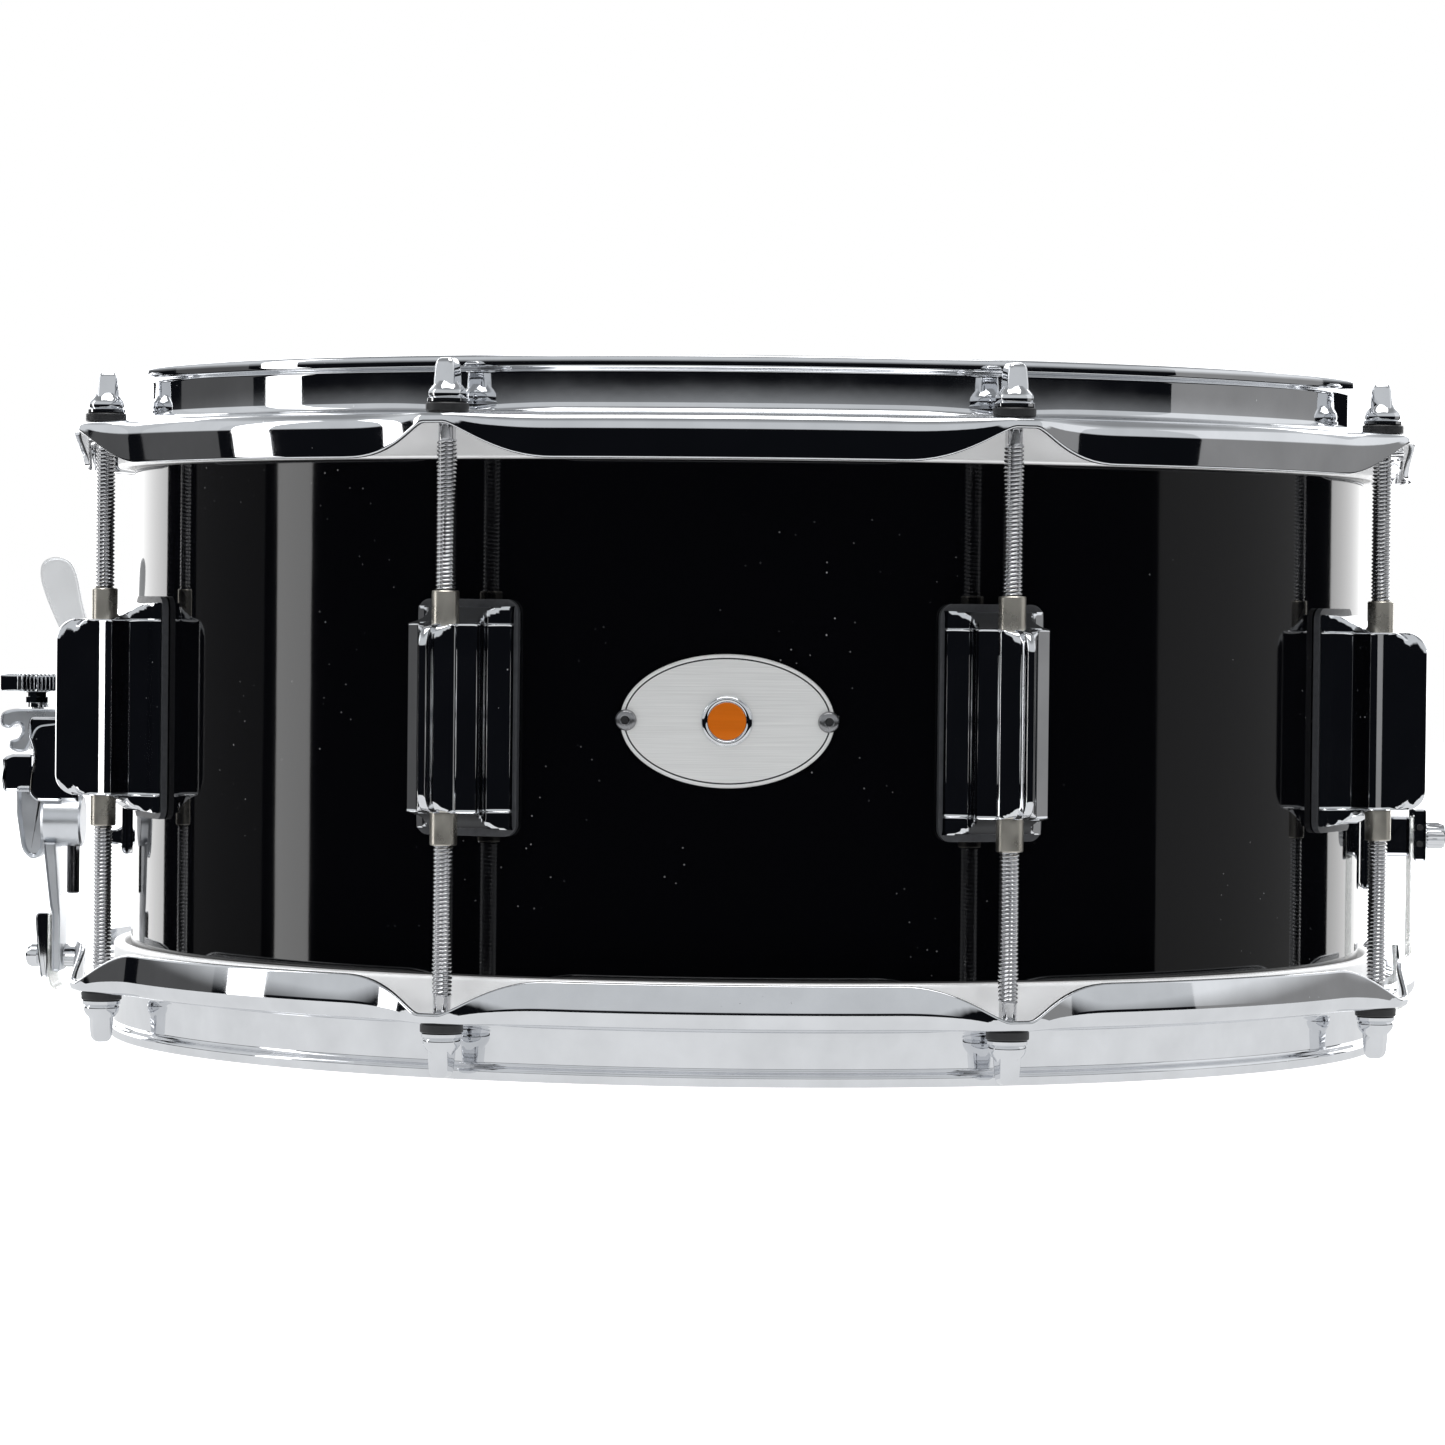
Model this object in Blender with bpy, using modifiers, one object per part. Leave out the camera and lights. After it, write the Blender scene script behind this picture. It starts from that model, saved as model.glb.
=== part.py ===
"""A 14 x 6.5 in snare drum: wood shell, two heads in flanged hoops, eight lugs with sixteen tension rods,
a throw-off strainer at -X, a butt plate at +X and the snare wires between them.

The frame: +Z up, the drum's axis on Z, its front (the badge) towards -Y, and the origin at the centre of
the batter head's playing face. Heights in the constants are measured from the shell's middle plane.
Radii are measured from the drum's axis. "Turn" is an angle about that axis, from the front towards +X.
"""

import math

import bmesh
import bpy
from mathutils import Matrix, Vector

# ---------------------------------------------------------------- driving dimensions, in metres
GAP = 0.0003  # left between touching pieces
SHELL_RADIUS = 0.1778  # 14 in across
SHELL_WALL = 0.0062
SHELL_HALF = 0.08255  # half of 6.5 in
EDGE_PEAK_RADIUS = 0.1763  # where the bearing edge meets the head
EDGE_BEVEL = 0.005
ROUND_STEPS = 48

FILM = 0.0005  # drum head film
FILM_TOP = SHELL_HALF + GAP + FILM
COLLAR_RADIUS = SHELL_RADIUS + GAP
COLLAR_BOTTOM = 0.070

FLESH_INNER = 0.1792
FLESH_OUTER = 0.1826
FLESH_TOP = 0.0782
FLESH_BOTTOM = 0.0677

HOOP_TOP = 0.0946
HOOP_BAND = 0.1823  # outside of the upright band
HOOP_THICK = 0.0021
EAR_TOP = 0.07915
SKIRT_BOTTOM = 0.0675
GATE_HALF_WIDTH = 0.023
GATE_TOP = 0.0910  # the gate's edge nearest the rim

LUG_TURNS = [math.radians(22.5 + 45 * n) for n in range(8)]
ROD_CIRCLE = 0.192
ROD_RADIUS = 0.00265
ROD_TIP = 0.0934
ROD_END = 0.0210
ROD_HOLE = 0.0033
WASHER_RADIUS = 0.00565
COLLAR_HEAD = 0.0052
KEY_SIDE = 0.0060

LUG_HALF = 0.0244  # half of the casting's upright body
LUG_BASE_HALF = 0.0289
INSERT_END = 0.0331
INSERT_RADIUS = 0.0036
BORE_RADIUS = 0.0031
BORE_DEPTH_END = 0.0185
LUG_SCREW_HEIGHT = 0.0190
SCREW_SHANK = 0.0020
SCREW_HOLE = 0.0025
SCREW_WASHER = 0.0045
WASHER_FACE = SHELL_RADIUS - SHELL_WALL - 0.0004  # radius where a screw's washer starts, inside the shell
WASHER_BACK = WASHER_FACE - 0.0022

GASKET_INNER = SHELL_RADIUS + GAP
GASKET_OUTER = 0.1797
GASKET_HALF_WIDTH = 0.0145
GASKET_HALF = 0.0310

BADGE_HALF_WIDTH = 0.0280
BADGE_HALF_HEIGHT = 0.0174
BADGE_INNER = SHELL_RADIUS + GAP
BADGE_OUTER = 0.1789
BADGE_TURN = 0.0  # the badge faces front
PIN_TURN = math.radians(8.45)
PIN_RADIUS = 0.0028
PIN_SHANK = 0.0011
VENT_RADIUS = 0.00485  # clear way through the grommet
VENT_BARREL = 0.0054
VENT_FLANGE = 0.0068
VENT_HOLE = VENT_BARREL + GAP

STRAINER_TURN = math.radians(-90)
BUTT_TURN = math.radians(90)
PLATE_INNER = 0.1783  # back of the strainer's and the butt's mounting plates
PLATE_OUTER = 0.1810
STRAINER_SCREWS = (-0.030, 0.004)
BUTT_SCREW = -0.0344
SNARE_BED_HALF = 0.040
SNARE_BED_DEPTH = 0.0020

PIVOT_RADIUS = 0.1900  # the lever's axis, from the drum's axis
PIVOT_PIN = 0.0022
PIVOT_HOLE = 0.0026
LEVER_SIDES = (-0.0155, -0.0130)  # the lever's plate, from the strainer's middle plane
POST_RADIUS = 0.1966
POST_ROUND = 0.0019
HOUSING_RADIUS = 0.2002
HOUSING_ROUND = 0.0065
HOUSING_HEIGHTS = (-0.0420, -0.0144)
KNOB_AXIS = 0.2074
KNOB_ROUND = 0.01085
SPINDLE = 0.0018
STRAP_SCREW_HEIGHT = -0.0742
CLAMP_BACK = 0.1994  # the bar behind the strainer's strap
CLAMP_FRONT = 0.2018
STRAP_THICK = 0.0006
STRAP_HALF_WIDTH = 0.0080
STRAP_LEVEL = -0.08505  # middle of the straps where they run in under the drum
STRAP_END = 0.1510
STRAINER_STRAP_RADIUS = 0.2024
BUTT_STRAP_RADIUS = 0.1929
CLAMP_SCREW = 0.0014
CLAMP_HOLE = 0.0018

WIRE_COUNT = 20
WIRE_PITCH = 0.0020
WIRE_SIZE = 0.0014
WIRE_HALF_LENGTH = 0.1500
WIRE_TOP = -(FILM_TOP + GAP)
WIRE_PLATE = (0.1450, 0.1580)
WIRE_PLATE_THICK = 0.0008
WIRE_HINGE = 0.1650  # where the wires pivot, just outside their plate at the butt

MIDDLE = -FILM_TOP  # height of the shell's middle plane in the part's frame


# ---------------------------------------------------------------- scene and materials
def clear_scene():
    for obj in list(bpy.data.objects):
        bpy.data.objects.remove(obj)


def new_collection(name):
    collection = bpy.data.collections.new(name)
    bpy.context.scene.collection.children.link(collection)
    return collection


def new_material(name, colour, roughness, metallic=0.0):
    material = bpy.data.materials.new(name)
    material.use_nodes = True
    shader = material.node_tree.nodes["Principled BSDF"]
    shader.inputs["Base Color"].default_value = (*colour, 1.0)
    shader.inputs["Roughness"].default_value = roughness
    shader.inputs["Metallic"].default_value = metallic
    return material


clear_scene()
DRUM = new_collection("snare_drum")
CUTTERS = new_collection("cutters")
CUTTERS.hide_render = True
AXIS = bpy.data.objects.new("drum_axis", None)
AXIS.location = (0, 0, MIDDLE)
DRUM.objects.link(AXIS)

LACQUER = new_material("black_lacquer", (0.005, 0.005, 0.006), 0.06)
CHROME = new_material("chrome", (0.80, 0.81, 0.83), 0.05, 1.0)
NICKEL = new_material("nickel", (0.66, 0.62, 0.55), 0.25, 1.0)
ALUMINIUM = new_material("aluminium", (0.60, 0.60, 0.61), 0.35, 1.0)
GREY_PLASTIC = new_material("grey_plastic", (0.10, 0.10, 0.11), 0.45)
COATED_FILM = new_material("coated_film", (0.86, 0.86, 0.84), 0.55)
CLEAR_FILM = new_material("clear_film", (0.80, 0.82, 0.82), 0.20)
CLEAR_STRAP = new_material("clear_strap", (0.82, 0.83, 0.80), 0.25)
STEEL_WIRE = new_material("steel_wire", (0.70, 0.70, 0.71), 0.25, 1.0)


# ---------------------------------------------------------------- building blocks
def radial(radius, across, height):
    """The point at this radius in front of the axis, this far to the right of the middle, at this height."""
    return Vector((across, -radius, height))


def add_object(name, mesh, material, collection=None):
    obj = bpy.data.objects.new(name, mesh)
    obj.parent = AXIS
    (collection or DRUM).objects.link(obj)
    if material:
        mesh.materials.clear()
        mesh.materials.append(material)
        mesh.shade_smooth()
        mesh.set_sharp_from_angle(angle=math.radians(35))
    return obj


def object_from(name, bm, material=None, turn=0.0, pivot=None):
    """An object of this closed shape, turned about the drum's axis, with its origin at the turned pivot."""
    bmesh.ops.recalc_face_normals(bm, faces=bm.faces)
    rotation = Matrix.Rotation(turn, 4, "Z")
    origin = rotation @ (pivot or Vector())
    bmesh.ops.transform(bm, matrix=Matrix.Translation(-origin) @ rotation, verts=bm.verts)
    mesh = bpy.data.meshes.new(name)
    bm.to_mesh(mesh)
    bm.free()
    obj = add_object(name, mesh, material, DRUM if material else CUTTERS)
    obj.location = origin
    if not material:
        obj.hide_render = True
        obj.display_type = "WIRE"
    return obj


def boolean(obj, operand, operation):
    modifier = obj.modifiers.new(operand.name, "BOOLEAN")
    modifier.operation = operation
    modifier.object = operand


def cut(obj, cutter):
    boolean(obj, cutter, "DIFFERENCE")


def join(obj, piece):
    boolean(obj, piece, "UNION")


def baked_mesh(obj):
    """The mesh that the object's modifiers make, for its copies to share. The object itself is removed."""
    bpy.context.view_layer.update()
    graph = bpy.context.evaluated_depsgraph_get()
    mesh = bpy.data.meshes.new_from_object(obj.evaluated_get(graph))
    bpy.data.objects.remove(obj)
    return mesh


def turned(name, profile, material, steps=ROUND_STEPS, closed=True):
    """A profile of (radius, height) points, from the outside's top downwards, turned about Z."""
    count = len(profile)
    edges = [(n, n + 1) for n in range(count - 1)]
    if closed:
        edges.append((count - 1, 0))
    mesh = bpy.data.meshes.new(name)
    mesh.from_pydata([(radius, 0, height) for radius, height in profile], edges, [])
    obj = add_object(name, mesh, material, DRUM if material else CUTTERS)
    screw = obj.modifiers.new("turn", "SCREW")
    screw.steps = steps
    screw.render_steps = steps
    screw.use_merge_vertices = True
    screw.merge_threshold = 0.00001
    screw.use_smooth_shade = True
    return obj


def slab(bm, outline, start, end):
    """Adds an outline of (radius, height) points, extruded sideways from start to end."""
    face = bm.faces.new([bm.verts.new(radial(radius, start, height)) for radius, height in outline])
    grown = bmesh.ops.extrude_face_region(bm, geom=[face])["geom"]
    moved = [part for part in grown if isinstance(part, bmesh.types.BMVert)]
    bmesh.ops.translate(bm, vec=(end - start, 0, 0), verts=moved)


def upright(bm, radius, across, round_radius, heights, segments=12, top_radius=None):
    """Adds an upright cylinder or cone at this radius and sideways place."""
    place = Matrix.Translation(radial(radius, across, sum(heights) / 2))
    bmesh.ops.create_cone(
        bm,
        cap_ends=True,
        segments=segments,
        radius1=round_radius,
        radius2=round_radius if top_radius is None else top_radius,
        depth=heights[1] - heights[0],
        matrix=place,
    )


def outward(bm, radii, across, height, round_radius, segments=8, turn=0.0, end_radius=None):
    """Adds a cylinder or cone that lies along the radius, from radii[0] to radii[1]."""
    middle = radial(sum(radii) / 2, across, height)
    place = Matrix.Rotation(turn, 4, "Z") @ Matrix.Translation(middle) @ Matrix.Rotation(math.pi / 2, 4, "X")
    bmesh.ops.create_cone(
        bm,
        cap_ends=True,
        segments=segments,
        radius1=round_radius,
        radius2=round_radius if end_radius is None else end_radius,
        depth=radii[1] - radii[0],
        matrix=place,
    )


def sideways(bm, radius, height, round_radius, across, segments=16):
    """Adds a cylinder that lies across the radius, along the tangent."""
    middle = radial(radius, sum(across) / 2, height)
    place = Matrix.Translation(middle) @ Matrix.Rotation(math.pi / 2, 4, "Y")
    bmesh.ops.create_cone(
        bm,
        cap_ends=True,
        segments=segments,
        radius1=round_radius,
        radius2=round_radius,
        depth=across[1] - across[0],
        matrix=place,
    )


def block(name, radii, across, heights, material=None, turn=0.0, pivot=None):
    bm = bmesh.new()
    corners = [(radii[0], heights[0]), (radii[1], heights[0]), (radii[1], heights[1]), (radii[0], heights[1])]
    slab(bm, corners, *across)
    return object_from(name, bm, material, turn, pivot)


def turned_outward(name, profile, material, height=0.0, across=0.0, turn=0.0, steps=8):
    """A closed profile of (round radius, distance from the drum's axis), turned about a line out of the drum."""
    piece = turned(name, profile, material, steps, closed=profile[0][0] > 0)
    piece.rotation_euler = (math.pi / 2, 0, turn)
    piece.location = Matrix.Rotation(turn, 3, "Z") @ Vector((across, 0, height))
    return piece


def mount_screw(name, height, reach, turn=0.0):
    """A mounting screw's shank through the shell, with its washer and head inside."""
    profile = [
        (0, reach),
        (SCREW_SHANK, reach),
        (SCREW_SHANK, WASHER_FACE),
        (SCREW_WASHER, WASHER_FACE),
        (SCREW_WASHER, WASHER_BACK),
        (0, WASHER_BACK),
    ]
    return turned_outward(name, profile, None, height, turn=turn)


def loft(bm, rings, closed_round):
    """Joins rings of points with faces. The last ring meets the first, or both ends are capped."""
    loops = [[bm.verts.new(point) for point in ring] for ring in rings]
    spans = len(loops) if closed_round else len(loops) - 1
    for n in range(spans):
        here = loops[n]
        there = loops[(n + 1) % len(loops)]
        for k in range(len(here)):
            after = (k + 1) % len(here)
            bm.faces.new((here[k], here[after], there[after], there[k]))
    if not closed_round:
        bm.faces.new(loops[0])
        bm.faces.new(loops[-1])


# ---------------------------------------------------------------- shell, badge and vent
def shell_holes():
    """One cutter with every hole in the shell."""
    bm = bmesh.new()
    through = (SHELL_RADIUS - 2 * SHELL_WALL, SHELL_RADIUS + SHELL_WALL)
    for turn in LUG_TURNS:
        for side in (-1, 1):
            outward(bm, through, 0, side * LUG_SCREW_HEIGHT, SCREW_HOLE, turn=turn)
    for turn, heights in ((STRAINER_TURN, STRAINER_SCREWS), (BUTT_TURN, [BUTT_SCREW])):
        for height in heights:
            outward(bm, through, 0, height, SCREW_HOLE, turn=turn)
    outward(bm, through, 0, 0, VENT_HOLE, segments=16, turn=BADGE_TURN)
    for side in (-1, 1):
        outward(bm, through, 0, 0, PIN_SHANK + GAP, turn=BADGE_TURN + side * PIN_TURN)
    return object_from("shell_holes_cutter", bm)


def snare_bed_cutter():
    """A shallow dish across the bottom edge, under the snare wires at both ends."""
    bm = bmesh.new()
    steps = 6
    arc = []
    for n in range(steps + 1):
        across = SNARE_BED_HALF * (2 * n / steps - 1)
        rise = SNARE_BED_DEPTH * math.cos(math.pi * across / (2 * SNARE_BED_HALF)) ** 2
        arc.append((across, -SHELL_HALF + rise))
    arc += [(SNARE_BED_HALF, -SHELL_HALF - 0.002), (-SNARE_BED_HALF, -SHELL_HALF - 0.002)]
    face = bm.faces.new([bm.verts.new((-0.2, across, height)) for across, height in arc])
    grown = bmesh.ops.extrude_face_region(bm, geom=[face])["geom"]
    moved = [part for part in grown if isinstance(part, bmesh.types.BMVert)]
    bmesh.ops.translate(bm, vec=(0.4, 0, 0), verts=moved)
    return object_from("snare_bed_cutter", bm)


def make_shell():
    inner = SHELL_RADIUS - SHELL_WALL
    flank = SHELL_HALF - 0.0015  # where the outside starts to round over to the edge
    profile = [
        (EDGE_PEAK_RADIUS, SHELL_HALF),
        (SHELL_RADIUS, flank),
        (SHELL_RADIUS, -flank),
        (EDGE_PEAK_RADIUS, -SHELL_HALF),
        (inner, -SHELL_HALF + EDGE_BEVEL),
        (inner, SHELL_HALF - EDGE_BEVEL),
    ]
    shell = turned("shell", profile, LACQUER)
    cut(shell, shell_holes())
    cut(shell, snare_bed_cutter())


def make_badge():
    """An oval plate bent round the shell, from a flat oval cut out of a thin sleeve."""
    bm = bmesh.new()
    stations = 9
    rings = []
    for n in range(stations):
        share = 2 * n / (stations - 1) - 1
        turn = share * (BADGE_HALF_WIDTH - 0.0006) / BADGE_OUTER
        half = max(BADGE_HALF_HEIGHT * math.sqrt(1 - share * share), 0.0028)
        corners = [(BADGE_INNER, -half), (BADGE_OUTER, -half), (BADGE_OUTER, half), (BADGE_INNER, half)]
        ring = [Matrix.Rotation(turn, 3, "Z") @ radial(radius, 0, height) for radius, height in corners]
        rings.append(ring)
    loft(bm, rings, closed_round=False)
    badge = object_from("badge_plate", bm, ALUMINIUM)
    bm = bmesh.new()
    outward(bm, (SHELL_RADIUS - 0.001, BADGE_OUTER + 0.002), 0, 0, VENT_HOLE, segments=16)
    for side in (-1, 1):
        reach = (SHELL_RADIUS - 0.001, BADGE_OUTER + 0.002)
        outward(bm, reach, 0, 0, PIN_SHANK + GAP, turn=side * PIN_TURN)
    cut(badge, object_from("badge_holes_cutter", bm))


def make_badge_pins():
    """A domed head outside the badge and a shank in the shell, on each side."""
    seat = BADGE_OUTER + GAP
    profile = [
        (0, seat + 0.0018),
        (PIN_RADIUS * 0.6, seat + 0.0016),
        (PIN_RADIUS, seat + 0.0008),
        (PIN_RADIUS, seat),
        (PIN_SHANK, seat),
        (PIN_SHANK, SHELL_RADIUS - SHELL_WALL - 0.001),
        (0, SHELL_RADIUS - SHELL_WALL - 0.001),
    ]
    for side, name in ((-1, "badge_pin_left"), (1, "badge_pin_right")):
        turned_outward(name, profile, ALUMINIUM, turn=side * PIN_TURN, steps=10)


def make_vent_grommet():
    """A tube through the shell with a flange at each end."""
    outside = BADGE_OUTER + GAP
    inside = SHELL_RADIUS - SHELL_WALL - 0.0010
    profile = [
        (VENT_BARREL, outside + 0.0018),
        (VENT_FLANGE, outside + 0.0009),
        (VENT_FLANGE, outside),
        (VENT_BARREL, outside),
        (VENT_BARREL, inside),
        (VENT_FLANGE, inside),
        (VENT_FLANGE, inside - 0.0007),
        (VENT_RADIUS, inside - 0.0007),
        (VENT_RADIUS, outside + 0.0014),
    ]
    turned_outward("vent_grommet", profile, CHROME, steps=16)


# ---------------------------------------------------------------- heads and hoops
def make_head(film_name, flesh_name, film_material, flip):
    """A film with a collar that turns down over the shell's edge, and the ring that holds the collar."""
    collar_outer = COLLAR_RADIUS + FILM
    under = FILM_TOP - FILM
    profile = [
        (0, FILM_TOP),
        (EDGE_PEAK_RADIUS, FILM_TOP),
        (collar_outer, FILM_TOP - 0.0022),
        (collar_outer, COLLAR_BOTTOM),
        (COLLAR_RADIUS, COLLAR_BOTTOM),
        (COLLAR_RADIUS, under - 0.0019),
        (EDGE_PEAK_RADIUS, under),
        (0, under),
    ]
    film = turned(film_name, profile, film_material, closed=False)
    ring = [
        (FLESH_OUTER, FLESH_TOP),
        (FLESH_OUTER, FLESH_BOTTOM),
        (FLESH_INNER, FLESH_BOTTOM),
        (FLESH_INNER, FLESH_TOP),
    ]
    flesh = turned(flesh_name, ring, ALUMINIUM)
    if flip:
        film.rotation_euler = (math.pi, 0, 0)
        flesh.rotation_euler = (math.pi, 0, 0)


def skirt_share(angle):
    """How far the flange is turned down at this angle from the nearest rod: 0 at the ear, 1 in the skirt."""
    ear = math.radians(1.1)
    full = math.radians(9.0)
    share = min(max((abs(angle) - ear) / (full - ear), 0.0), 1.0)
    return 1 - (1 - share) ** 2.2


def hoop_section(angle):
    """The hoop's section as (radius, height) points: the band, then the flange from ear to skirt."""
    share = skirt_share(angle)
    ear_under = EAR_TOP - 0.0022
    flange = [  # each point at the ear, then in the skirt
        ((0.1846, EAR_TOP), (0.1846, 0.0800)),
        ((0.1978, EAR_TOP), (0.1941, 0.0754)),
        ((0.2004, 0.0778), (0.1936, SKIRT_BOTTOM)),
        ((0.1993, 0.0762), (0.1918, SKIRT_BOTTOM)),
        ((0.1966, ear_under), (0.1921, 0.0748)),
        ((0.1842, ear_under), (0.1858, 0.0776)),
    ]
    blended = []
    for (ear_radius, ear_height), (skirt_radius, skirt_height) in flange:
        radius = ear_radius + share * (skirt_radius - ear_radius)
        height = ear_height + share * (skirt_height - ear_height)
        blended.append((radius, height))
    lip = HOOP_BAND + 0.0016
    inside = HOOP_BAND - HOOP_THICK
    shoulder = FLESH_TOP + 0.0004
    upper = [(inside, HOOP_TOP), (lip, HOOP_TOP), (lip, 0.0914), (HOOP_BAND, 0.0906), (HOOP_BAND, 0.0814)]
    return upper + blended + [(FLESH_OUTER + 0.0007, shoulder), (inside, shoulder)]


def hoop_shape():
    """The hoop's sections round the drum, close together at the ears."""
    steps = [math.radians(a) for a in (1.1, 3.0, 6.0, 11.0, 16.8)]
    angles = [-a for a in reversed(steps)] + steps + [math.radians(22.5)]
    rings = []
    for turn in LUG_TURNS:
        for angle in angles:
            rotation = Matrix.Rotation(turn + angle, 3, "Z")
            rings.append([rotation @ radial(radius, 0, height) for radius, height in hoop_section(angle)])
    bm = bmesh.new()
    loft(bm, rings, closed_round=True)
    return bm


def ear_holes_cutter():
    bm = bmesh.new()
    for turn in LUG_TURNS:
        x = ROD_CIRCLE * math.sin(turn)
        y = -ROD_CIRCLE * math.cos(turn)
        upright(bm, -y, x, ROD_HOLE, (EAR_TOP - 0.006, EAR_TOP + 0.002), segments=10)
    return object_from("ear_holes_cutter", bm)


def make_hoops():
    """Two alike hoops. The lower one is turned over and has a gate for each strap."""
    batter = object_from("hoop", hoop_shape(), CHROME)
    cut(batter, ear_holes_cutter())
    mesh = baked_mesh(batter)
    add_object("batter_hoop", mesh, CHROME)
    snare = add_object("snare_hoop", mesh.copy(), CHROME)
    snare.rotation_euler = (math.pi, 0, 0)
    sides = (-GATE_HALF_WIDTH, GATE_HALF_WIDTH)
    for turn, end in ((STRAINER_TURN, "strainer"), (BUTT_TURN, "butt")):
        flange = (HOOP_BAND + 0.0009, 0.205)
        cut(snare, block(f"gate_flange_{end}", flange, sides, (-GATE_TOP, -0.060), turn=turn))
        cut(snare, block(f"gate_window_{end}", (0.170, 0.190), sides, (-GATE_TOP, -0.0815), turn=turn))


# ---------------------------------------------------------------- tension rods and lugs
def rod_mesh():
    """A tension rod about its own axis: shaft, nylon washer, steel washer, collar and square key head."""
    seat = EAR_TOP + GAP
    profile = [
        (0, 0.0868),
        (0.0033, 0.0868),
        (COLLAR_HEAD, 0.0848),
        (COLLAR_HEAD, seat + 0.0026),
        (WASHER_RADIUS, seat + 0.0025),
        (WASHER_RADIUS, seat),
        (ROD_RADIUS, seat),
        (ROD_RADIUS, ROD_END),
        (0, ROD_END),
    ]
    rod = turned("tension_rod", profile, CHROME, steps=8, closed=False)
    corner = KEY_SIDE / math.sqrt(2)
    profile = [(0, ROD_TIP), (0.0030, ROD_TIP), (corner, ROD_TIP - 0.0012), (corner, 0.0855), (0, 0.0855)]
    key = turned("rod_key", profile, None, steps=4, closed=False)
    key.rotation_euler = (0, 0, math.pi / 4)
    join(rod, key)
    return baked_mesh(rod)


def make_rods():
    mesh = rod_mesh()
    for side, flip in (("batter", 0.0), ("snare", math.pi)):
        for number, turn in enumerate(LUG_TURNS, start=1):
            rod = add_object(f"{side}_rod_{number}", mesh, CHROME)
            rod.location = (ROD_CIRCLE * math.sin(turn), -ROD_CIRCLE * math.cos(turn), 0)
            rod.rotation_euler = (flip, 0, turn)


def lug_outline():
    """Half of the casting's level section, as (radius, half width), from the back to the front ridge."""
    return [
        (0.17950, 0.0139),
        (0.1812, 0.0136),
        (0.1832, 0.0102),
        (0.1863, 0.0086),
        (0.1928, 0.0112),
        (0.1960, 0.0060),
        (0.1996, 0.0038),
        (0.2006, 0.0016),
        (0.2055, 0.0010),
    ]


def lug_ring(height, front):
    """The casting's section at this height, cut off flat at the front radius."""
    half = []
    for radius, width in lug_outline():
        if radius > front:
            radius = front
            width = min(width, half[-1][1] - 0.0003)
        half.append((radius, width))
    right = [radial(radius, width, height) for radius, width in half]
    left = [radial(radius, -width, height) for radius, width in reversed(half)]
    return [radial(0.1800, 0, height)] + right + left


def lug_mesh():
    """The casting, its two inserts with their bores and its two mounting screws, in front of the axis."""
    neck = 0.1861
    levels = [(LUG_BASE_HALF, 0.1806), (LUG_HALF, neck), (LUG_HALF - 0.00002, 0.1999), (0.0187, 0.21)]
    rings = [lug_ring(-height, front) for height, front in levels]
    rings += [lug_ring(height, front) for height, front in reversed(levels)]
    bm = bmesh.new()
    loft(bm, rings, closed_round=False)
    lug = object_from("lug", bm, CHROME)
    bm = bmesh.new()
    upright(bm, ROD_CIRCLE, 0, INSERT_RADIUS, (-INSERT_END, INSERT_END))
    join(lug, object_from("lug_inserts", bm))
    for side, name in ((-1, "low"), (1, "high")):
        join(lug, mount_screw(f"lug_screw_{name}", side * LUG_SCREW_HEIGHT, reach=0.1815))
        bm = bmesh.new()
        heights = sorted((side * BORE_DEPTH_END, side * (INSERT_END + 0.002)))
        upright(bm, ROD_CIRCLE, 0, BORE_RADIUS, heights, segments=10)
        cut(lug, object_from(f"lug_bore_{name}", bm))
    return baked_mesh(lug)


def gasket_mesh():
    """A thin pad bent once along its middle to follow the shell, with two screw holes."""
    bm = bmesh.new()
    rings = []
    for across in (-1.0, -0.86, 0.0, 0.86, 1.0):
        width = across * GASKET_HALF_WIDTH
        half = GASKET_HALF - (0.0020 if abs(across) == 1 else 0)
        drop = GASKET_OUTER - math.sqrt(GASKET_OUTER**2 - width**2)
        back = GASKET_INNER - drop
        front = GASKET_OUTER - drop
        corners = [(back, -half), (front, -half), (front, half), (back, half)]
        rings.append([radial(radius, width, height) for radius, height in corners])
    loft(bm, rings, closed_round=False)
    gasket = object_from("gasket", bm, GREY_PLASTIC)
    bm = bmesh.new()
    for side in (-1, 1):
        outward(bm, (0.175, 0.185), 0, side * LUG_SCREW_HEIGHT, SCREW_HOLE)
    cut(gasket, object_from("gasket_holes_cutter", bm))
    return baked_mesh(gasket)


def make_lugs():
    lug = lug_mesh()
    gasket = gasket_mesh()
    for number, turn in enumerate(LUG_TURNS, start=1):
        for name, mesh, material in (("lug", lug, CHROME), ("lug_gasket", gasket, GREY_PLASTIC)):
            piece = add_object(f"{name}_{number}", mesh, material)
            piece.rotation_euler = (0, 0, turn)


# ---------------------------------------------------------------- strainer, butt and snares
def strap(name, path, turn, holes):
    """A clear plastic strip along a path of (radius, height), with its screw holes as (across, height)."""
    bm = bmesh.new()
    rows = []
    for side in (-1, 1):
        rows.append([bm.verts.new(radial(radius, side * STRAP_HALF_WIDTH, height)) for radius, height in path])
    for n in range(len(path) - 1):
        bm.faces.new((rows[0][n], rows[0][n + 1], rows[1][n + 1], rows[1][n]))
    strip = object_from(name, bm, CLEAR_STRAP, turn)
    thickness = strip.modifiers.new("thickness", "SOLIDIFY")
    thickness.thickness = STRAP_THICK
    thickness.offset = 0
    thickness.use_even_offset = True
    for number, (across, height) in enumerate(holes):
        bm = bmesh.new()
        outward(bm, (0.185, 0.210), across, height, CLAMP_HOLE)
        cut(strip, object_from(f"{name}_hole_{number}", bm, turn=turn))


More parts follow.
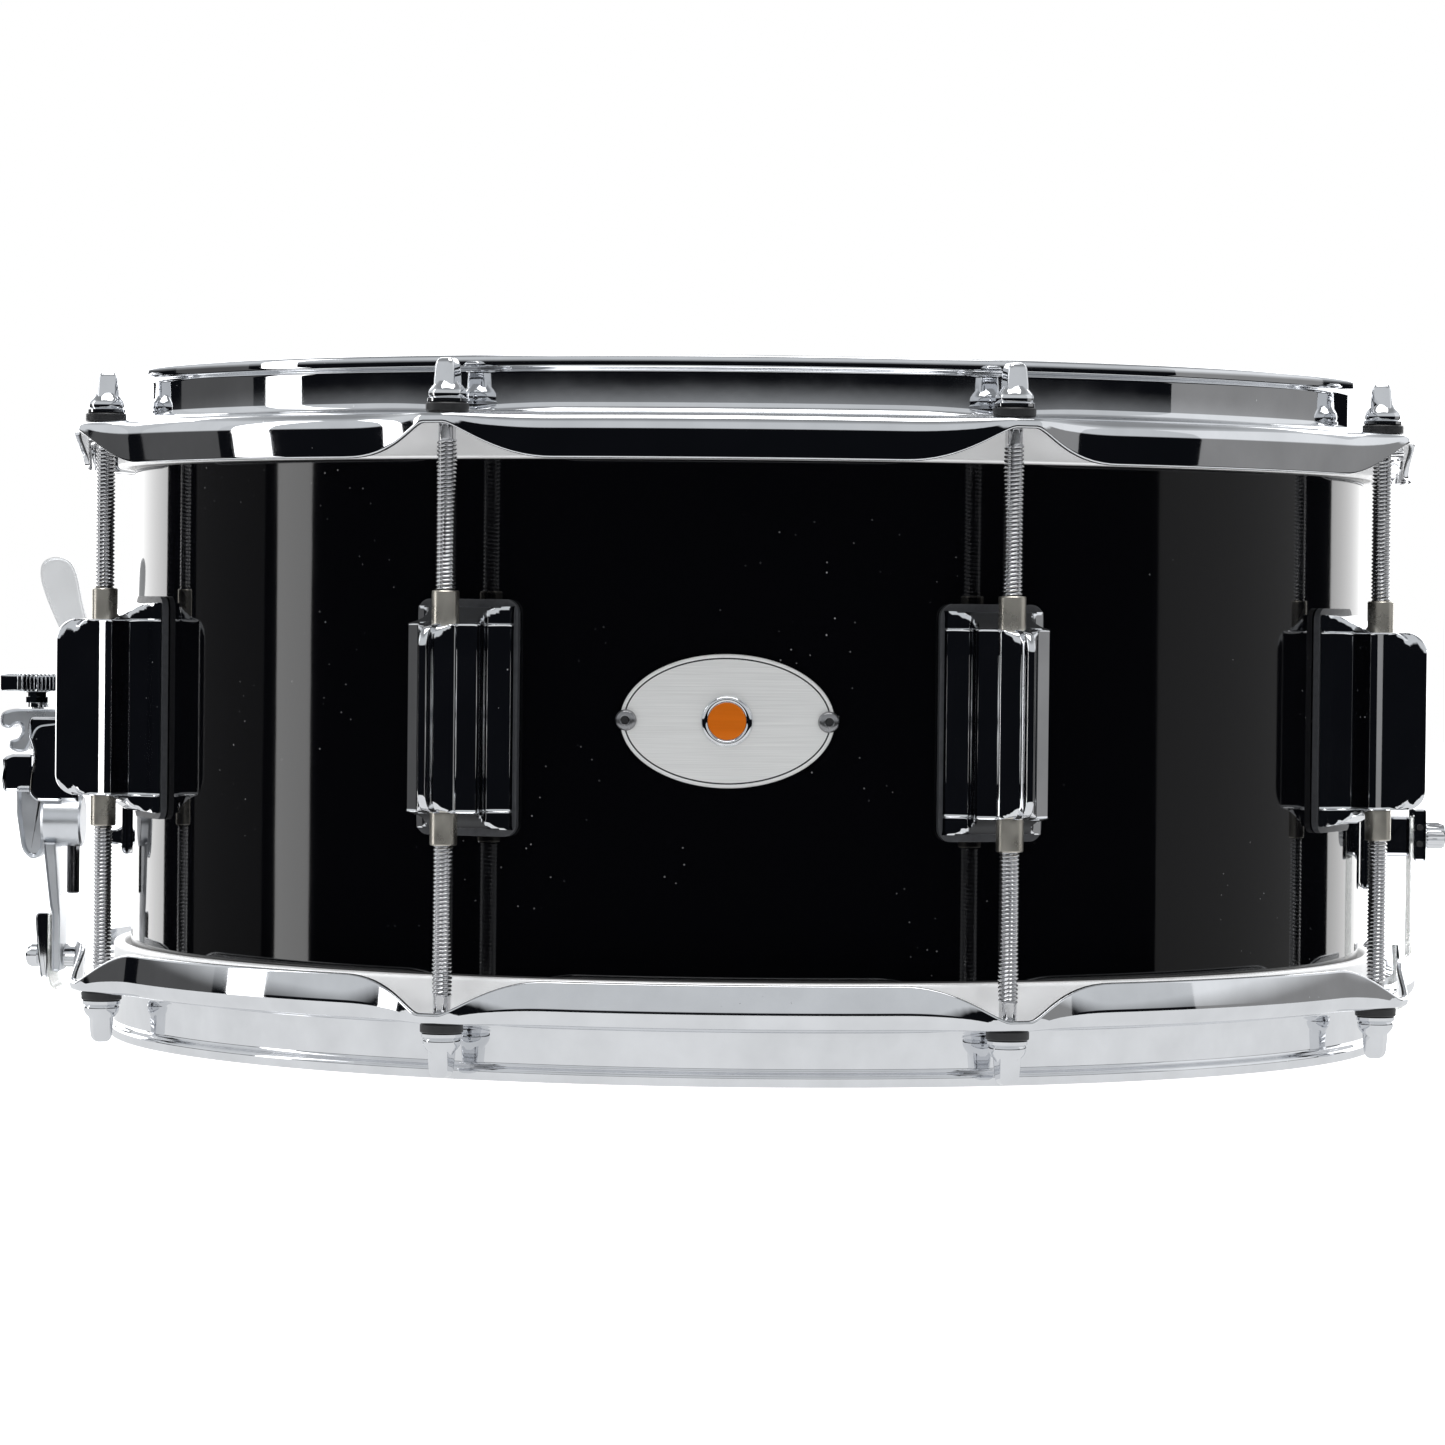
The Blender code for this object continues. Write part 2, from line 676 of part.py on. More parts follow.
def clamp_screw(name, material, reach, head, height, across, turn, nut=None):
    """A screw that lies along the radius: its tip, its head's seat and top, and a nut's seat if it has one."""
    seat, top, round_radius = head
    profile = [(0, top), (round_radius * 0.8, top), (round_radius, top - 0.001), (round_radius, seat)]
    profile.append((CLAMP_SCREW, seat))
    if nut:
        profile += [(CLAMP_SCREW, nut), (0.0034, nut), (0.0034, reach), (0, reach)]
    else:
        profile += [(CLAMP_SCREW, reach), (0, reach)]
    return turned_outward(name, profile, material, height, across, turn, steps=12)


def strainer_body():
    """The plate on the shell, the boss that carries the lever's pin, and the post that the carriage rides on."""
    turn = STRAINER_TURN
    body = block("strainer_body", (PLATE_INNER, PLATE_OUTER), (-0.010, 0.010), (-0.044, 0.012), CHROME, turn)
    join(body, block("strainer_boss", (0.1800, 0.1936), (-0.0127, 0.0080), (-0.0070, 0.0070), turn=turn))
    join(body, block("strainer_bracket", (0.1802, 0.1990), (-0.0045, 0.0045), (-0.0125, -0.0065), turn=turn))
    join(body, block("strainer_bridge", (0.1802, 0.1862), (-0.0060, 0.0060), (-0.0414, -0.0368), turn=turn))
    bm = bmesh.new()
    upright(bm, POST_RADIUS, 0, POST_ROUND, (-0.0560, -0.0120))
    join(body, object_from("strainer_post", bm, turn=turn))
    for number, height in enumerate(STRAINER_SCREWS):
        join(body, mount_screw(f"strainer_screw_{number}", height, PLATE_INNER + 0.001, turn))
    bm = bmesh.new()
    sideways(bm, PIVOT_RADIUS, 0, PIVOT_HOLE, (-0.020, 0.012), segments=12)
    cut(body, object_from("strainer_pivot_hole", bm, turn=turn))


def strainer_lever():
    """A flat lever that stands up from its pivot, leans out and ends in a rounded paddle."""
    outline = [
        (0.1900, -0.0060),
        (0.1942, -0.0042),
        (0.1960, 0.0000),
        (0.2010, 0.0166),
        (0.2070, 0.0297),
        (0.2091, 0.0365),
        (0.2086, 0.0408),
        (0.2050, 0.0426),
        (0.2005, 0.0416),
        (0.1984, 0.0378),
        (0.1959, 0.0254),
        (0.1905, 0.0120),
        (0.1848, 0.0030),
        (0.1840, 0.0000),
        (0.1858, -0.0042),
    ]
    pivot = radial(PIVOT_RADIUS, sum(LEVER_SIDES) / 2, 0)
    bm = bmesh.new()
    slab(bm, outline, *LEVER_SIDES)
    lever = object_from("strainer_lever", bm, CHROME, STRAINER_TURN, pivot)
    bm = bmesh.new()
    sideways(bm, PIVOT_RADIUS, 0, PIVOT_HOLE, (-0.020, -0.010), segments=12)
    cut(lever, object_from("lever_hole", bm, turn=STRAINER_TURN))
    profile = [
        (0, 0.0095),
        (0.0036, 0.0095),
        (0.0036, 0.0083),
        (PIVOT_PIN, 0.0083),
        (PIVOT_PIN, -0.0158),
        (0.0036, -0.0158),
        (0.0036, -0.0170),
        (0, -0.0170),
    ]
    pin = turned("lever_pin", profile, CHROME, steps=12, closed=False)
    pin.rotation_euler = (math.pi / 2, 0, 0)
    pin.location = (-PIVOT_RADIUS, 0, 0)


def strainer_carriage():
    """The housing that slides down the post, with the knob's bracket above and the strap's bar below."""
    turn = STRAINER_TURN
    bm = bmesh.new()
    upright(bm, HOUSING_RADIUS, 0, HOUSING_ROUND, HOUSING_HEIGHTS, segments=16)
    carriage = object_from("strainer_carriage", bm, CHROME, turn, radial(POST_RADIUS, 0, 0))
    join(carriage, block("carriage_web", (0.2006, 0.2045), (-0.0050, 0.0050), (-0.0160, -0.0025), turn=turn))
    join(carriage, block("carriage_top", (0.2006, 0.2174), (-0.0060, 0.0060), (-0.0064, -0.0020), turn=turn))
    join(carriage, block("carriage_arm", (0.2047, 0.2125), (-0.0040, 0.0040), (-0.0462, -0.0250), turn=turn))
    join(carriage, block("carriage_block", (0.2082, 0.2170), (-0.0055, 0.0055), (-0.0263, -0.0152), turn=turn))
    bar_heights = (-0.0785, HOUSING_HEIGHTS[0] + 0.001)
    join(carriage, block("carriage_bar", (CLAMP_BACK, CLAMP_FRONT), (-0.0062, 0.0062), bar_heights, turn=turn))
    bm = bmesh.new()
    upright(bm, POST_RADIUS, 0, POST_ROUND + GAP, (-0.050, -0.010))
    cut(carriage, object_from("carriage_post_hole", bm, turn=turn))
    bm = bmesh.new()
    upright(bm, KNOB_AXIS, 0, SPINDLE + GAP, (-0.010, 0.0))
    cut(carriage, object_from("carriage_spindle_hole", bm, turn=turn))
    bm = bmesh.new()
    outward(bm, (0.195, 0.205), 0, STRAP_SCREW_HEIGHT, CLAMP_HOLE)
    cut(carriage, object_from("carriage_clamp_hole", bm, turn=turn))


def strainer_knob():
    profile = [
        (0, 0.0086),
        (KNOB_ROUND - 0.0010, 0.0086),
        (KNOB_ROUND, 0.0076),
        (KNOB_ROUND, 0.0038),
        (KNOB_ROUND - 0.0010, 0.0028),
        (0.0032, 0.0028),
        (0.0032, -0.0017),
        (SPINDLE, -0.0017),
        (SPINDLE, -0.0130),
        (0, -0.0130),
    ]
    knob = turned("strainer_knob", profile, CHROME, steps=16, closed=False)
    knob.location = (-KNOB_AXIS, 0, 0)


def strainer_clamp():
    """The outer jaw, its screw with a nut behind the bar, and the strap between them."""
    face = STRAINER_STRAP_RADIUS + STRAP_THICK / 2 + GAP
    outline = [(face, -0.0800), (0.2048, -0.0804), (0.2066, -0.0616), (face, -0.0612)]
    bm = bmesh.new()
    slab(bm, outline, -0.0062, 0.0062)
    jaw = object_from("strainer_clamp_jaw", bm, CHROME, STRAINER_TURN)
    bm = bmesh.new()
    outward(bm, (0.200, 0.210), 0, STRAP_SCREW_HEIGHT, CLAMP_HOLE)
    cut(jaw, object_from("jaw_hole", bm, turn=STRAINER_TURN))
    head = (0.2064, 0.2102, 0.0034)
    nut = CLAMP_BACK - GAP
    turn = STRAINER_TURN
    clamp_screw("strainer_clamp_screw", CHROME, 0.1952, head, STRAP_SCREW_HEIGHT, 0, turn, nut)
    radius = STRAINER_STRAP_RADIUS
    path = [
        (STRAP_END, STRAP_LEVEL),
        (0.1900, STRAP_LEVEL),
        (radius - 0.0042, STRAP_LEVEL + 0.0006),
        (radius - 0.0010, STRAP_LEVEL + 0.0020),
        (radius, STRAP_LEVEL + 0.0048),
        (radius, -0.0620),
    ]
    strap("strainer_strap", path, turn, [(0, STRAP_SCREW_HEIGHT)])


def make_butt():
    """The bracket on the shell, the jaw that holds its strap, two screws and the strap."""
    turn = BUTT_TURN
    screws = ((-0.005, "front"), (0.005, "back"))
    bracket = block("butt_bracket", (PLATE_INNER, PLATE_OUTER), (-0.008, 0.008), (-0.050, -0.020), CHROME, turn)
    join(bracket, block("butt_arm", (0.1805, 0.1923), (-0.0085, 0.0085), (-0.0402, -0.0286), turn=turn))
    join(bracket, mount_screw("butt_mount_screw", BUTT_SCREW, PLATE_INNER + 0.001, turn))
    jaw = block("butt_jaw", (0.1935, 0.1969), (-0.0085, 0.0085), (-0.0416, -0.0265), CHROME, turn)
    for across, name in screws:
        bm = bmesh.new()
        outward(bm, (0.1850, 0.2000), across, BUTT_SCREW, CLAMP_HOLE)
        hole = object_from(f"butt_hole_{name}", bm, turn=turn)
        cut(bracket, hole)
        cut(jaw, hole)
        clamp_screw(f"butt_screw_{name}", CHROME, 0.1855, (0.1972, 0.2028, 0.0036), BUTT_SCREW, across, turn)
    path = [
        (STRAP_END, STRAP_LEVEL),
        (0.1880, STRAP_LEVEL),
        (0.1914, STRAP_LEVEL + 0.0016),
        (BUTT_STRAP_RADIUS, STRAP_LEVEL + 0.0055),
        (BUTT_STRAP_RADIUS, -0.0290),
    ]
    strap("butt_strap", path, turn, [(across, BUTT_SCREW) for across, _ in screws])


def make_wires():
    """The strands side by side, joined by a plate at each end. Their origin is where they tip."""
    bm = bmesh.new()
    for end in (-1, 1):
        place = Matrix.Translation((end * sum(WIRE_PLATE) / 2, 0, WIRE_TOP - WIRE_PLATE_THICK / 2))
        size = Matrix.Diagonal((WIRE_PLATE[1] - WIRE_PLATE[0], WIRE_COUNT * WIRE_PITCH, WIRE_PLATE_THICK, 1))
        bmesh.ops.create_cube(bm, size=1, matrix=place @ size)
    hinge = Vector((WIRE_HINGE, 0, WIRE_TOP - WIRE_SIZE / 2))
    wires = object_from("snare_wires", bm, STEEL_WIRE, pivot=hinge)
    bm = bmesh.new()
    for number in range(WIRE_COUNT):
        across = (number - (WIRE_COUNT - 1) / 2) * WIRE_PITCH
        place = Matrix.Translation((0, across, WIRE_TOP - WIRE_SIZE / 2 - 0.00005))
        size = Matrix.Diagonal((2 * WIRE_HALF_LENGTH, WIRE_SIZE, WIRE_SIZE, 1))
        bmesh.ops.create_cube(bm, size=1, matrix=place @ size)
    join(wires, object_from("snare_strands", bm))


# ---------------------------------------------------------------- build
make_shell()
make_badge()
make_badge_pins()
make_vent_grommet()
make_head("batter_head", "batter_flesh_hoop", COATED_FILM, flip=False)
make_head("snare_head", "snare_flesh_hoop", CLEAR_FILM, flip=True)
make_hoops()
make_rods()
make_lugs()
strainer_body()
strainer_lever()
strainer_carriage()
strainer_knob()
strainer_clamp()
make_butt()
make_wires()
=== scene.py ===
"""The looks of a 14 x 6.5 in snare drum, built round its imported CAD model.

Heights in this file are measured from the shell's middle plane, and radii from the drum's axis. "Turn" is
an angle about that axis from the front (-Y) towards +X, in degrees. Blender's unit is the metre. The
outlines of the pieces are written in millimetres and pass through mm() or * MM.
"""

import math

import bmesh
import bpy
from mathutils import Matrix, Vector


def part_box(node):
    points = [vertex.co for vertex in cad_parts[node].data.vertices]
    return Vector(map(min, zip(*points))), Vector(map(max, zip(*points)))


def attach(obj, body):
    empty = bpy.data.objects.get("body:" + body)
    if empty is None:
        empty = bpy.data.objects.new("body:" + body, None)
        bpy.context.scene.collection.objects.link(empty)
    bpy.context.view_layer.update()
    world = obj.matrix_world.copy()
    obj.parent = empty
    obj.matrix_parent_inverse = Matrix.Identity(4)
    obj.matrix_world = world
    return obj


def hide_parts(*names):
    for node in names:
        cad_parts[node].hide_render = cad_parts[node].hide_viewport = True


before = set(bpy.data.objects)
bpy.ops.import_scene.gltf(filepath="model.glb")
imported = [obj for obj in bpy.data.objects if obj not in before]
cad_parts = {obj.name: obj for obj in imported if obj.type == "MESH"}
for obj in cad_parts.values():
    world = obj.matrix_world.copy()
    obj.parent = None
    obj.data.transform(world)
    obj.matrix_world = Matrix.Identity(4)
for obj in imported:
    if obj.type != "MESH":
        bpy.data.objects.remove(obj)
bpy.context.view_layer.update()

MM = 0.001
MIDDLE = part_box("shell")[0].z / 2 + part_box("shell")[1].z / 2  # height of the shell's middle plane
ROD_CIRCLE = 192.0 * MM
LUG_TURNS = [22.5 + 45 * n for n in range(8)]
RIM = 94.6 * MM
LEFT, RIGHT = -90.0, 90.0  # the strainer's and the butt's turns
SMOOTH_ANGLE = math.radians(35)

# places of the small fittings, in millimetres
PIVOT = 190.0  # radius of the lever's axis
POST = 196.6  # radius of the strainer's guide post
KNOB_AXIS = 207.4
STRAP_SCREW = -74.2  # height of the screw that clamps the strainer's strap
BUTT_SCREW = -34.4  # height of the butt's two screws
BUTT_SCREW_ACROSS = 5.0
LUG_SCREW = 19.0  # height of a lug's mounting screws above and below its middle
PIN_TURN = 8.45  # from the badge's middle to each of its pins


# ---------------------------------------------------------------- materials
def shader_of(name):
    material = bpy.data.materials.new(name)
    material.use_nodes = True
    tree = material.node_tree
    return material, tree, tree.nodes["Principled BSDF"]


def object_coordinates(tree, stretch=(1, 1, 1)):
    place = tree.nodes.new("ShaderNodeTexCoord")
    mapping = tree.nodes.new("ShaderNodeMapping")
    mapping.inputs["Scale"].default_value = stretch
    tree.links.new(place.outputs["Object"], mapping.inputs["Vector"])
    return mapping.outputs["Vector"]


def noise(tree, vector, scale, detail=3.0):
    node = tree.nodes.new("ShaderNodeTexNoise")
    node.inputs["Scale"].default_value = scale
    node.inputs["Detail"].default_value = detail
    tree.links.new(vector, node.inputs["Vector"])
    return node.outputs["Fac"]


def ramp(tree, factor, stops):
    """A colour ramp through (position, grey or colour) stops."""
    node = tree.nodes.new("ShaderNodeValToRGB")
    elements = node.color_ramp.elements
    while len(elements) < len(stops):
        elements.new(0.5)
    for element, (position, colour) in zip(elements, stops):
        element.position = position
        element.color = (*colour, 1) if isinstance(colour, tuple) else (colour, colour, colour, 1)
    tree.links.new(factor, node.inputs["Fac"])
    return node.outputs["Color"]


def bump(tree, shader, height, strength, distance):
    node = tree.nodes.new("ShaderNodeBump")
    node.inputs["Strength"].default_value = strength
    node.inputs["Distance"].default_value = distance
    tree.links.new(height, node.inputs["Height"])
    tree.links.new(node.outputs["Normal"], shader.inputs["Normal"])


def glow(shader, colour, strength):
    """A faint light of its own, for a face whose surroundings are left out of the scene."""
    shader.inputs["Emission Color"].default_value = (*colour, 1)
    shader.inputs["Emission Strength"].default_value = strength


def dust(tree, vector, scale, size):
    """A mask of sparse specks of dust, thicker in some patches than in others."""
    cells = tree.nodes.new("ShaderNodeTexVoronoi")
    cells.inputs["Scale"].default_value = scale
    tree.links.new(vector, cells.inputs["Vector"])
    patchy = noise(tree, vector, 22.0)
    near = ramp(tree, cells.outputs["Distance"], [(0.0, 1.0), (size, 1.0), (size * 1.5, 0.0)])
    where = ramp(tree, patchy, [(0.54, 0.0), (0.70, 1.0)])
    both = tree.nodes.new("ShaderNodeMix")
    both.data_type = "RGBA"
    both.blend_type = "MULTIPLY"
    both.inputs["Factor"].default_value = 1.0
    tree.links.new(near, both.inputs["A"])
    tree.links.new(where, both.inputs["B"])
    return both.outputs["Result"]


def lacquer_material():
    material, tree, shader = shader_of("black_lacquer_gloss")
    vector = object_coordinates(tree)
    black, speck = (0.0010, 0.0010, 0.0014), (0.22, 0.22, 0.22)
    colour = ramp(tree, dust(tree, vector, 300.0, 0.05), [(0.0, black), (1.0, speck)])
    tree.links.new(colour, shader.inputs["Base Color"])
    soft = noise(tree, vector, 9.0, 4.0)
    tree.links.new(ramp(tree, soft, [(0.3, 0.035), (0.7, 0.06)]), shader.inputs["Roughness"])
    bump(tree, shader, noise(tree, vector, 34.0, 1.0), 0.06, 0.0004)
    shader.inputs["IOR"].default_value = 1.5
    return material


def metal_material(name, colour, rough, spread, dusty=False, scale=40.0, own=0.0):
    """A metal whose roughness wanders a little and whose face has a faint ripple. own is its own glow."""
    material, tree, shader = shader_of(name)
    vector = object_coordinates(tree)
    mottled = noise(tree, vector, scale * 2)
    dark = tuple(0.9 * c for c in colour)
    tree.links.new(ramp(tree, mottled, [(0.3, dark), (0.7, colour)]), shader.inputs["Base Color"])
    wander = noise(tree, vector, scale, 5.0)
    stops = [(0.3, max(rough - spread, 0.0)), (0.7, rough + spread)]
    roughness = ramp(tree, wander, stops)
    if dusty:
        rougher = tree.nodes.new("ShaderNodeMath")
        rougher.operation = "MULTIPLY_ADD"
        tree.links.new(dust(tree, vector, 260.0, 0.05), rougher.inputs[0])
        rougher.inputs[1].default_value = 0.75
        tree.links.new(roughness, rougher.inputs[2])
        roughness = rougher.outputs["Value"]
    tree.links.new(roughness, shader.inputs["Roughness"])
    shader.inputs["Metallic"].default_value = 1.0
    glow(shader, colour, own)
    bump(tree, shader, noise(tree, vector, scale * 3, 2.0), 0.03, 0.0001)
    return material


def brushed_material():
    """Aluminium brushed along the badge's length."""
    material, tree, shader = shader_of("brushed_aluminium")
    streaks = noise(tree, object_coordinates(tree, (40, 40, 6500)), 1.0, 4.0)
    colour = ramp(tree, streaks, [(0.3, (0.72, 0.72, 0.71)), (0.7, (0.88, 0.88, 0.87))])
    tree.links.new(colour, shader.inputs["Base Color"])
    tree.links.new(ramp(tree, streaks, [(0.3, 0.50), (0.7, 0.60)]), shader.inputs["Roughness"])
    shader.inputs["Metallic"].default_value = 0.85
    # painted light: the badge glows faintly, lighter than its lamps make it
    glow(shader, (1.0, 0.99, 0.97), 0.10)
    bump(tree, shader, streaks, 0.10, 0.00004)
    return material


def rubber_material(name, colour, rough):
    material, tree, shader = shader_of(name)
    vector = object_coordinates(tree)
    speckle = noise(tree, vector, 900.0, 3.0)
    light = tuple(1.5 * c for c in colour)
    tree.links.new(ramp(tree, speckle, [(0.3, colour), (0.75, light)]), shader.inputs["Base Color"])
    tree.links.new(ramp(tree, speckle, [(0.3, rough - 0.06), (0.7, rough + 0.06)]), shader.inputs["Roughness"])
    bump(tree, shader, speckle, 0.2, 0.00008)
    return material


def wood_material():
    """The shell's clear-coated inner ply, its grain running round the drum."""
    material, tree, shader = shader_of("clear_coated_maple")
    vector = object_coordinates(tree, (2.2, 2.2, 70))
    figure = noise(tree, vector, 3.0, 8.0)
    stops = [(0.30, (0.34, 0.10, 0.008)), (0.52, (0.50, 0.17, 0.016)), (0.72, (0.60, 0.25, 0.035))]
    tree.links.new(ramp(tree, figure, stops), shader.inputs["Base Color"])
    tree.links.new(ramp(tree, figure, [(0.3, 0.30), (0.7, 0.45)]), shader.inputs["Roughness"])
    bump(tree, shader, figure, 0.15, 0.0002)
    # painted light: the inner wood glows faintly, standing in for the light that comes in through the heads
    glow(shader, (0.52, 0.135, 0.006), 0.55)
    return material


def film_material(name, colour, rough, clear, grain):
    """A drum head's polyester film. clear is the share of light that goes straight through."""
    material, tree, shader = shader_of(name)
    vector = object_coordinates(tree)
    speckle = noise(tree, vector, 1400.0, 2.0)
    cloud = noise(tree, vector, 12.0, 3.0)
    dark = tuple(0.95 * c for c in colour)
    tree.links.new(ramp(tree, cloud, [(0.35, dark), (0.65, colour)]), shader.inputs["Base Color"])
    tree.links.new(ramp(tree, speckle, [(0.3, rough - 0.05), (0.7, rough + 0.05)]), shader.inputs["Roughness"])
    shader.inputs["Transmission Weight"].default_value = clear
    shader.inputs["IOR"].default_value = 1.1 if clear else 1.5
    bump(tree, shader, speckle, grain, 0.00006)
    return material


LACQUER = lacquer_material()
WOOD = wood_material()
CHROME = metal_material("chrome_plate", (0.83, 0.84, 0.86), 0.035, 0.02, dusty=True)
ROD_STEEL = metal_material("rod_steel", (0.66, 0.66, 0.67), 0.12, 0.04, scale=220.0)
RIVET = metal_material("rivet_steel", (0.34, 0.34, 0.35), 0.28, 0.05, scale=220.0)
# painted light: the head rings glow, lightening them where the hoop's ears shade them
RING_METAL = metal_material("ring_aluminium", (0.88, 0.88, 0.88), 0.46, 0.05, scale=160.0, own=0.36)
SATIN_CHROME = metal_material("satin_chrome", (0.84, 0.86, 0.89), 0.30, 0.05, scale=60.0)
# painted light: the lever's paddle glows, lighter than its lamps make it
GLOWING_BRIGHT_SATIN = metal_material("bright_satin_chrome_painted_glow", (0.92, 0.93, 0.94), 0.48, 0.05, scale=60.0, own=0.30)
INSERT_METAL = metal_material("insert_nickel", (0.74, 0.70, 0.62), 0.30, 0.06, scale=120.0)
STEEL_WIRE = metal_material("wire_steel", (0.72, 0.72, 0.74), 0.20, 0.05, scale=200.0)
BRUSHED = brushed_material()
# the badge's printed line, and the painted shade in the pins' hollows
INK_AND_SHADE = rubber_material("badge_ink_and_painted_shade", (0.010, 0.010, 0.011), 0.40)
GASKET = rubber_material("gasket_rubber", (0.030, 0.031, 0.034), 0.42)
# black nylon washers, and the painted shade in the butt jaw's dimples
NYLON_AND_SHADE = rubber_material("nylon_washer_and_painted_shade", (0.012, 0.012, 0.013), 0.46)
COATED = film_material("coated_film", (0.70, 0.70, 0.68), 0.55, 0.0, 0.5)
CLEAR = film_material("clear_film", (0.93, 0.94, 0.94), 0.16, 0.85, 0.1)
STRAP = film_material("strap_plastic", (0.95, 0.96, 0.94), 0.14, 0.80, 0.1)


# ---------------------------------------------------------------- meshes
def spot(radius, across, height):
    """A point at this radius in front of the axis, this far to the right, at this height."""
    return Vector((across, -radius, height))


def piece(name, bm, materials, turn=0.0, body="drum", replaces=()):
    """An object of this shape, turned about the drum's axis, that rides on a body."""
    placed(name, to_mesh(name, bm, materials), turn, body, replaces)


def placed(name, mesh, turn=0.0, body="drum", replaces=(), flip=False, offset=Vector()):
    """The same for a finished mesh. flip turns it upside down first, and offset moves it level."""
    obj = bpy.data.objects.new(name, mesh)
    bpy.context.scene.collection.objects.link(obj)
    obj.rotation_euler = (math.pi if flip else 0, 0, math.radians(turn))
    obj.location = offset + Vector((0, 0, MIDDLE))
    flatten = obj.modifiers.new("large_faces_lie_flat", "WEIGHTED_NORMAL")
    flatten.weight = 100
    flatten.keep_sharp = True
    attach(obj, body)
    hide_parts(*replaces)


def smooth(bm, angle=SMOOTH_ANGLE):
    """Outward faces, smooth but for edges sharper than this."""
    bmesh.ops.recalc_face_normals(bm, faces=bm.faces)
    for face in bm.faces:
        face.smooth = True
    for edge in bm.edges:
        if len(edge.link_faces) == 2 and edge.calc_face_angle() > angle:
            edge.smooth = False


def rounded(points, steps=4):
    """A closed outline of (x, y, corner size) points, with each corner rounded off."""
    out = []
    count = len(points)
    for n, (x, y, size) in enumerate(points):
        here = Vector((x, y))
        before = Vector(points[n - 1][:2]) - here
        after = Vector(points[(n + 1) % count][:2]) - here
        if size <= 0:
            out.append(here)
            continue
        start = here + before.normalized() * min(size, 0.48 * before.length)
        end = here + after.normalized() * min(size, 0.48 * after.length)
        for k in range(steps + 1):
            t = k / steps
            out.append(start * (1 - t) ** 2 + here * (2 * t * (1 - t)) + end * t * t)
    return out


def join_rings(bm, rings, round_about=False, cap=True, material=0):
    """Faces from each ring of points to the next, back to the first or closed by a cap at each end."""
    loops = [[bm.verts.new(point) for point in ring] for ring in rings]
    count = len(loops) if round_about else len(loops) - 1
    for n in range(count):
        here, there = loops[n], loops[(n + 1) % len(loops)]
        for k in range(len(here)):
            after = (k + 1) % len(here)
            bm.faces.new((here[k], here[after], there[after], there[k])).material_index = material
    if cap and not round_about:
        bm.faces.new(loops[0]).material_index = material
        bm.faces.new(loops[-1]).material_index = material


def circle(radius, along, steps, place=Matrix.Identity(4)):
    """Points evenly round the local Z of place."""
    angles = [2 * math.pi * n / steps for n in range(steps)]
    return [place @ Vector((radius * math.cos(a), radius * math.sin(a), along)) for a in angles]


def revolve(bm, outline, steps, place=Matrix.Identity(4), material=0):
    """Turns a closed outline of (round radius, along) points about the local Z of place."""
    rings = []
    for n in range(steps):
        angle = 2 * math.pi * n / steps
        rings.append([place @ Vector((r * math.cos(angle), r * math.sin(angle), z)) for r, z in outline])
    join_rings(bm, rings, round_about=True, material=material)


def spindle(bm, stations, steps=24, place=Matrix.Identity(4), material=0):
    """A solid round piece through (round radius, along) stations, capped at both ends."""
    join_rings(bm, [circle(r, z, steps, place) for r, z in stations], material=material)


def winding(outline):
    """1 if the outline runs anticlockwise, else -1."""
    area = 0.0
    for n in range(len(outline)):
        (x0, y0), (x1, y1) = outline[n - 1][:2], outline[n][:2]
        area += x0 * y1 - x1 * y0
    return 1 if area > 0 else -1


def outward_place(height, across=0.0, turn=0.0):
    """Local Z points out of the drum along the radius."""
    turned = Matrix.Rotation(math.radians(turn), 4, "Z")
    return turned @ Matrix.Translation((across, 0, height)) @ Matrix.Rotation(math.pi / 2, 4, "X")


def mm(values):
    return [tuple(v * MM for v in value) for value in values]


def cut_mesh(mesh, bm):
    """The mesh with this shape cut from it. Both are in the same coordinates."""
    bmesh.ops.recalc_face_normals(bm, faces=bm.faces)
    target = bpy.data.objects.new("cut_target", mesh)
    tool = bpy.data.objects.new("cut_tool", to_mesh("cut_tool", bm, []))
    for obj in (target, tool):
        bpy.context.scene.collection.objects.link(obj)
    modifier = target.modifiers.new("cut", "BOOLEAN")
    modifier.operation = "DIFFERENCE"
    modifier.object = tool
    bpy.context.view_layer.update()
    graph = bpy.context.evaluated_depsgraph_get()
    result = bpy.data.meshes.new_from_object(target.evaluated_get(graph))
    bpy.data.objects.remove(target)
    bpy.data.objects.remove(tool)
    return result


def to_mesh(name, bm, materials):
    """A mesh of this shape. The shape is used up."""
    mesh = bpy.data.meshes.new(name)
    bm.to_mesh(mesh)
    bm.free()
    for material in materials:
        mesh.materials.append(material)
    return mesh


# ---------------------------------------------------------------- shell and badge
def make_shell():
    """A wooden tube, lacquered outside, with bearing edges at both ends and a hole for the grommet."""
    outer = [(176.3, 82.55), (176.9, 82.3), (177.5, 81.7), (177.8, 80.9), (177.8, 80.2), (177.8, 24.0)]
    outer += [(r, -z) for r, z in reversed(outer)]
    inner = [(171.6, -77.85), (171.6, -24.0), (171.6, 24.0), (171.6, 77.85)]
    bm = bmesh.new()
    revolve(bm, mm(outer + inner), 288)
    lacquer_ends = 176.2 * MM  # bare wood lies inside this radius
    for face in bm.faces:
        if face.calc_center_median().xy.length < lacquer_ends:
            face.material_index = 1
    smooth(bm)
    mesh = to_mesh("shell_lacquered", bm, [LACQUER, WOOD])
    hole = bmesh.new()
    spindle(hole, mm([(5.6, 165), (5.6, 185)]), 32, outward_place(0))
    mesh = cut_mesh(mesh, hole)
    placed("shell_lacquered", mesh, replaces=["shell"])


def badge_point(across, height, lift):
    """A point on the badge: across the curve, up, and this far above the badge's back."""
    radius = 178.1 * MM + lift
    angle = across / (178.5 * MM)
    return Vector((radius * math.sin(angle), -radius * math.cos(angle), height))


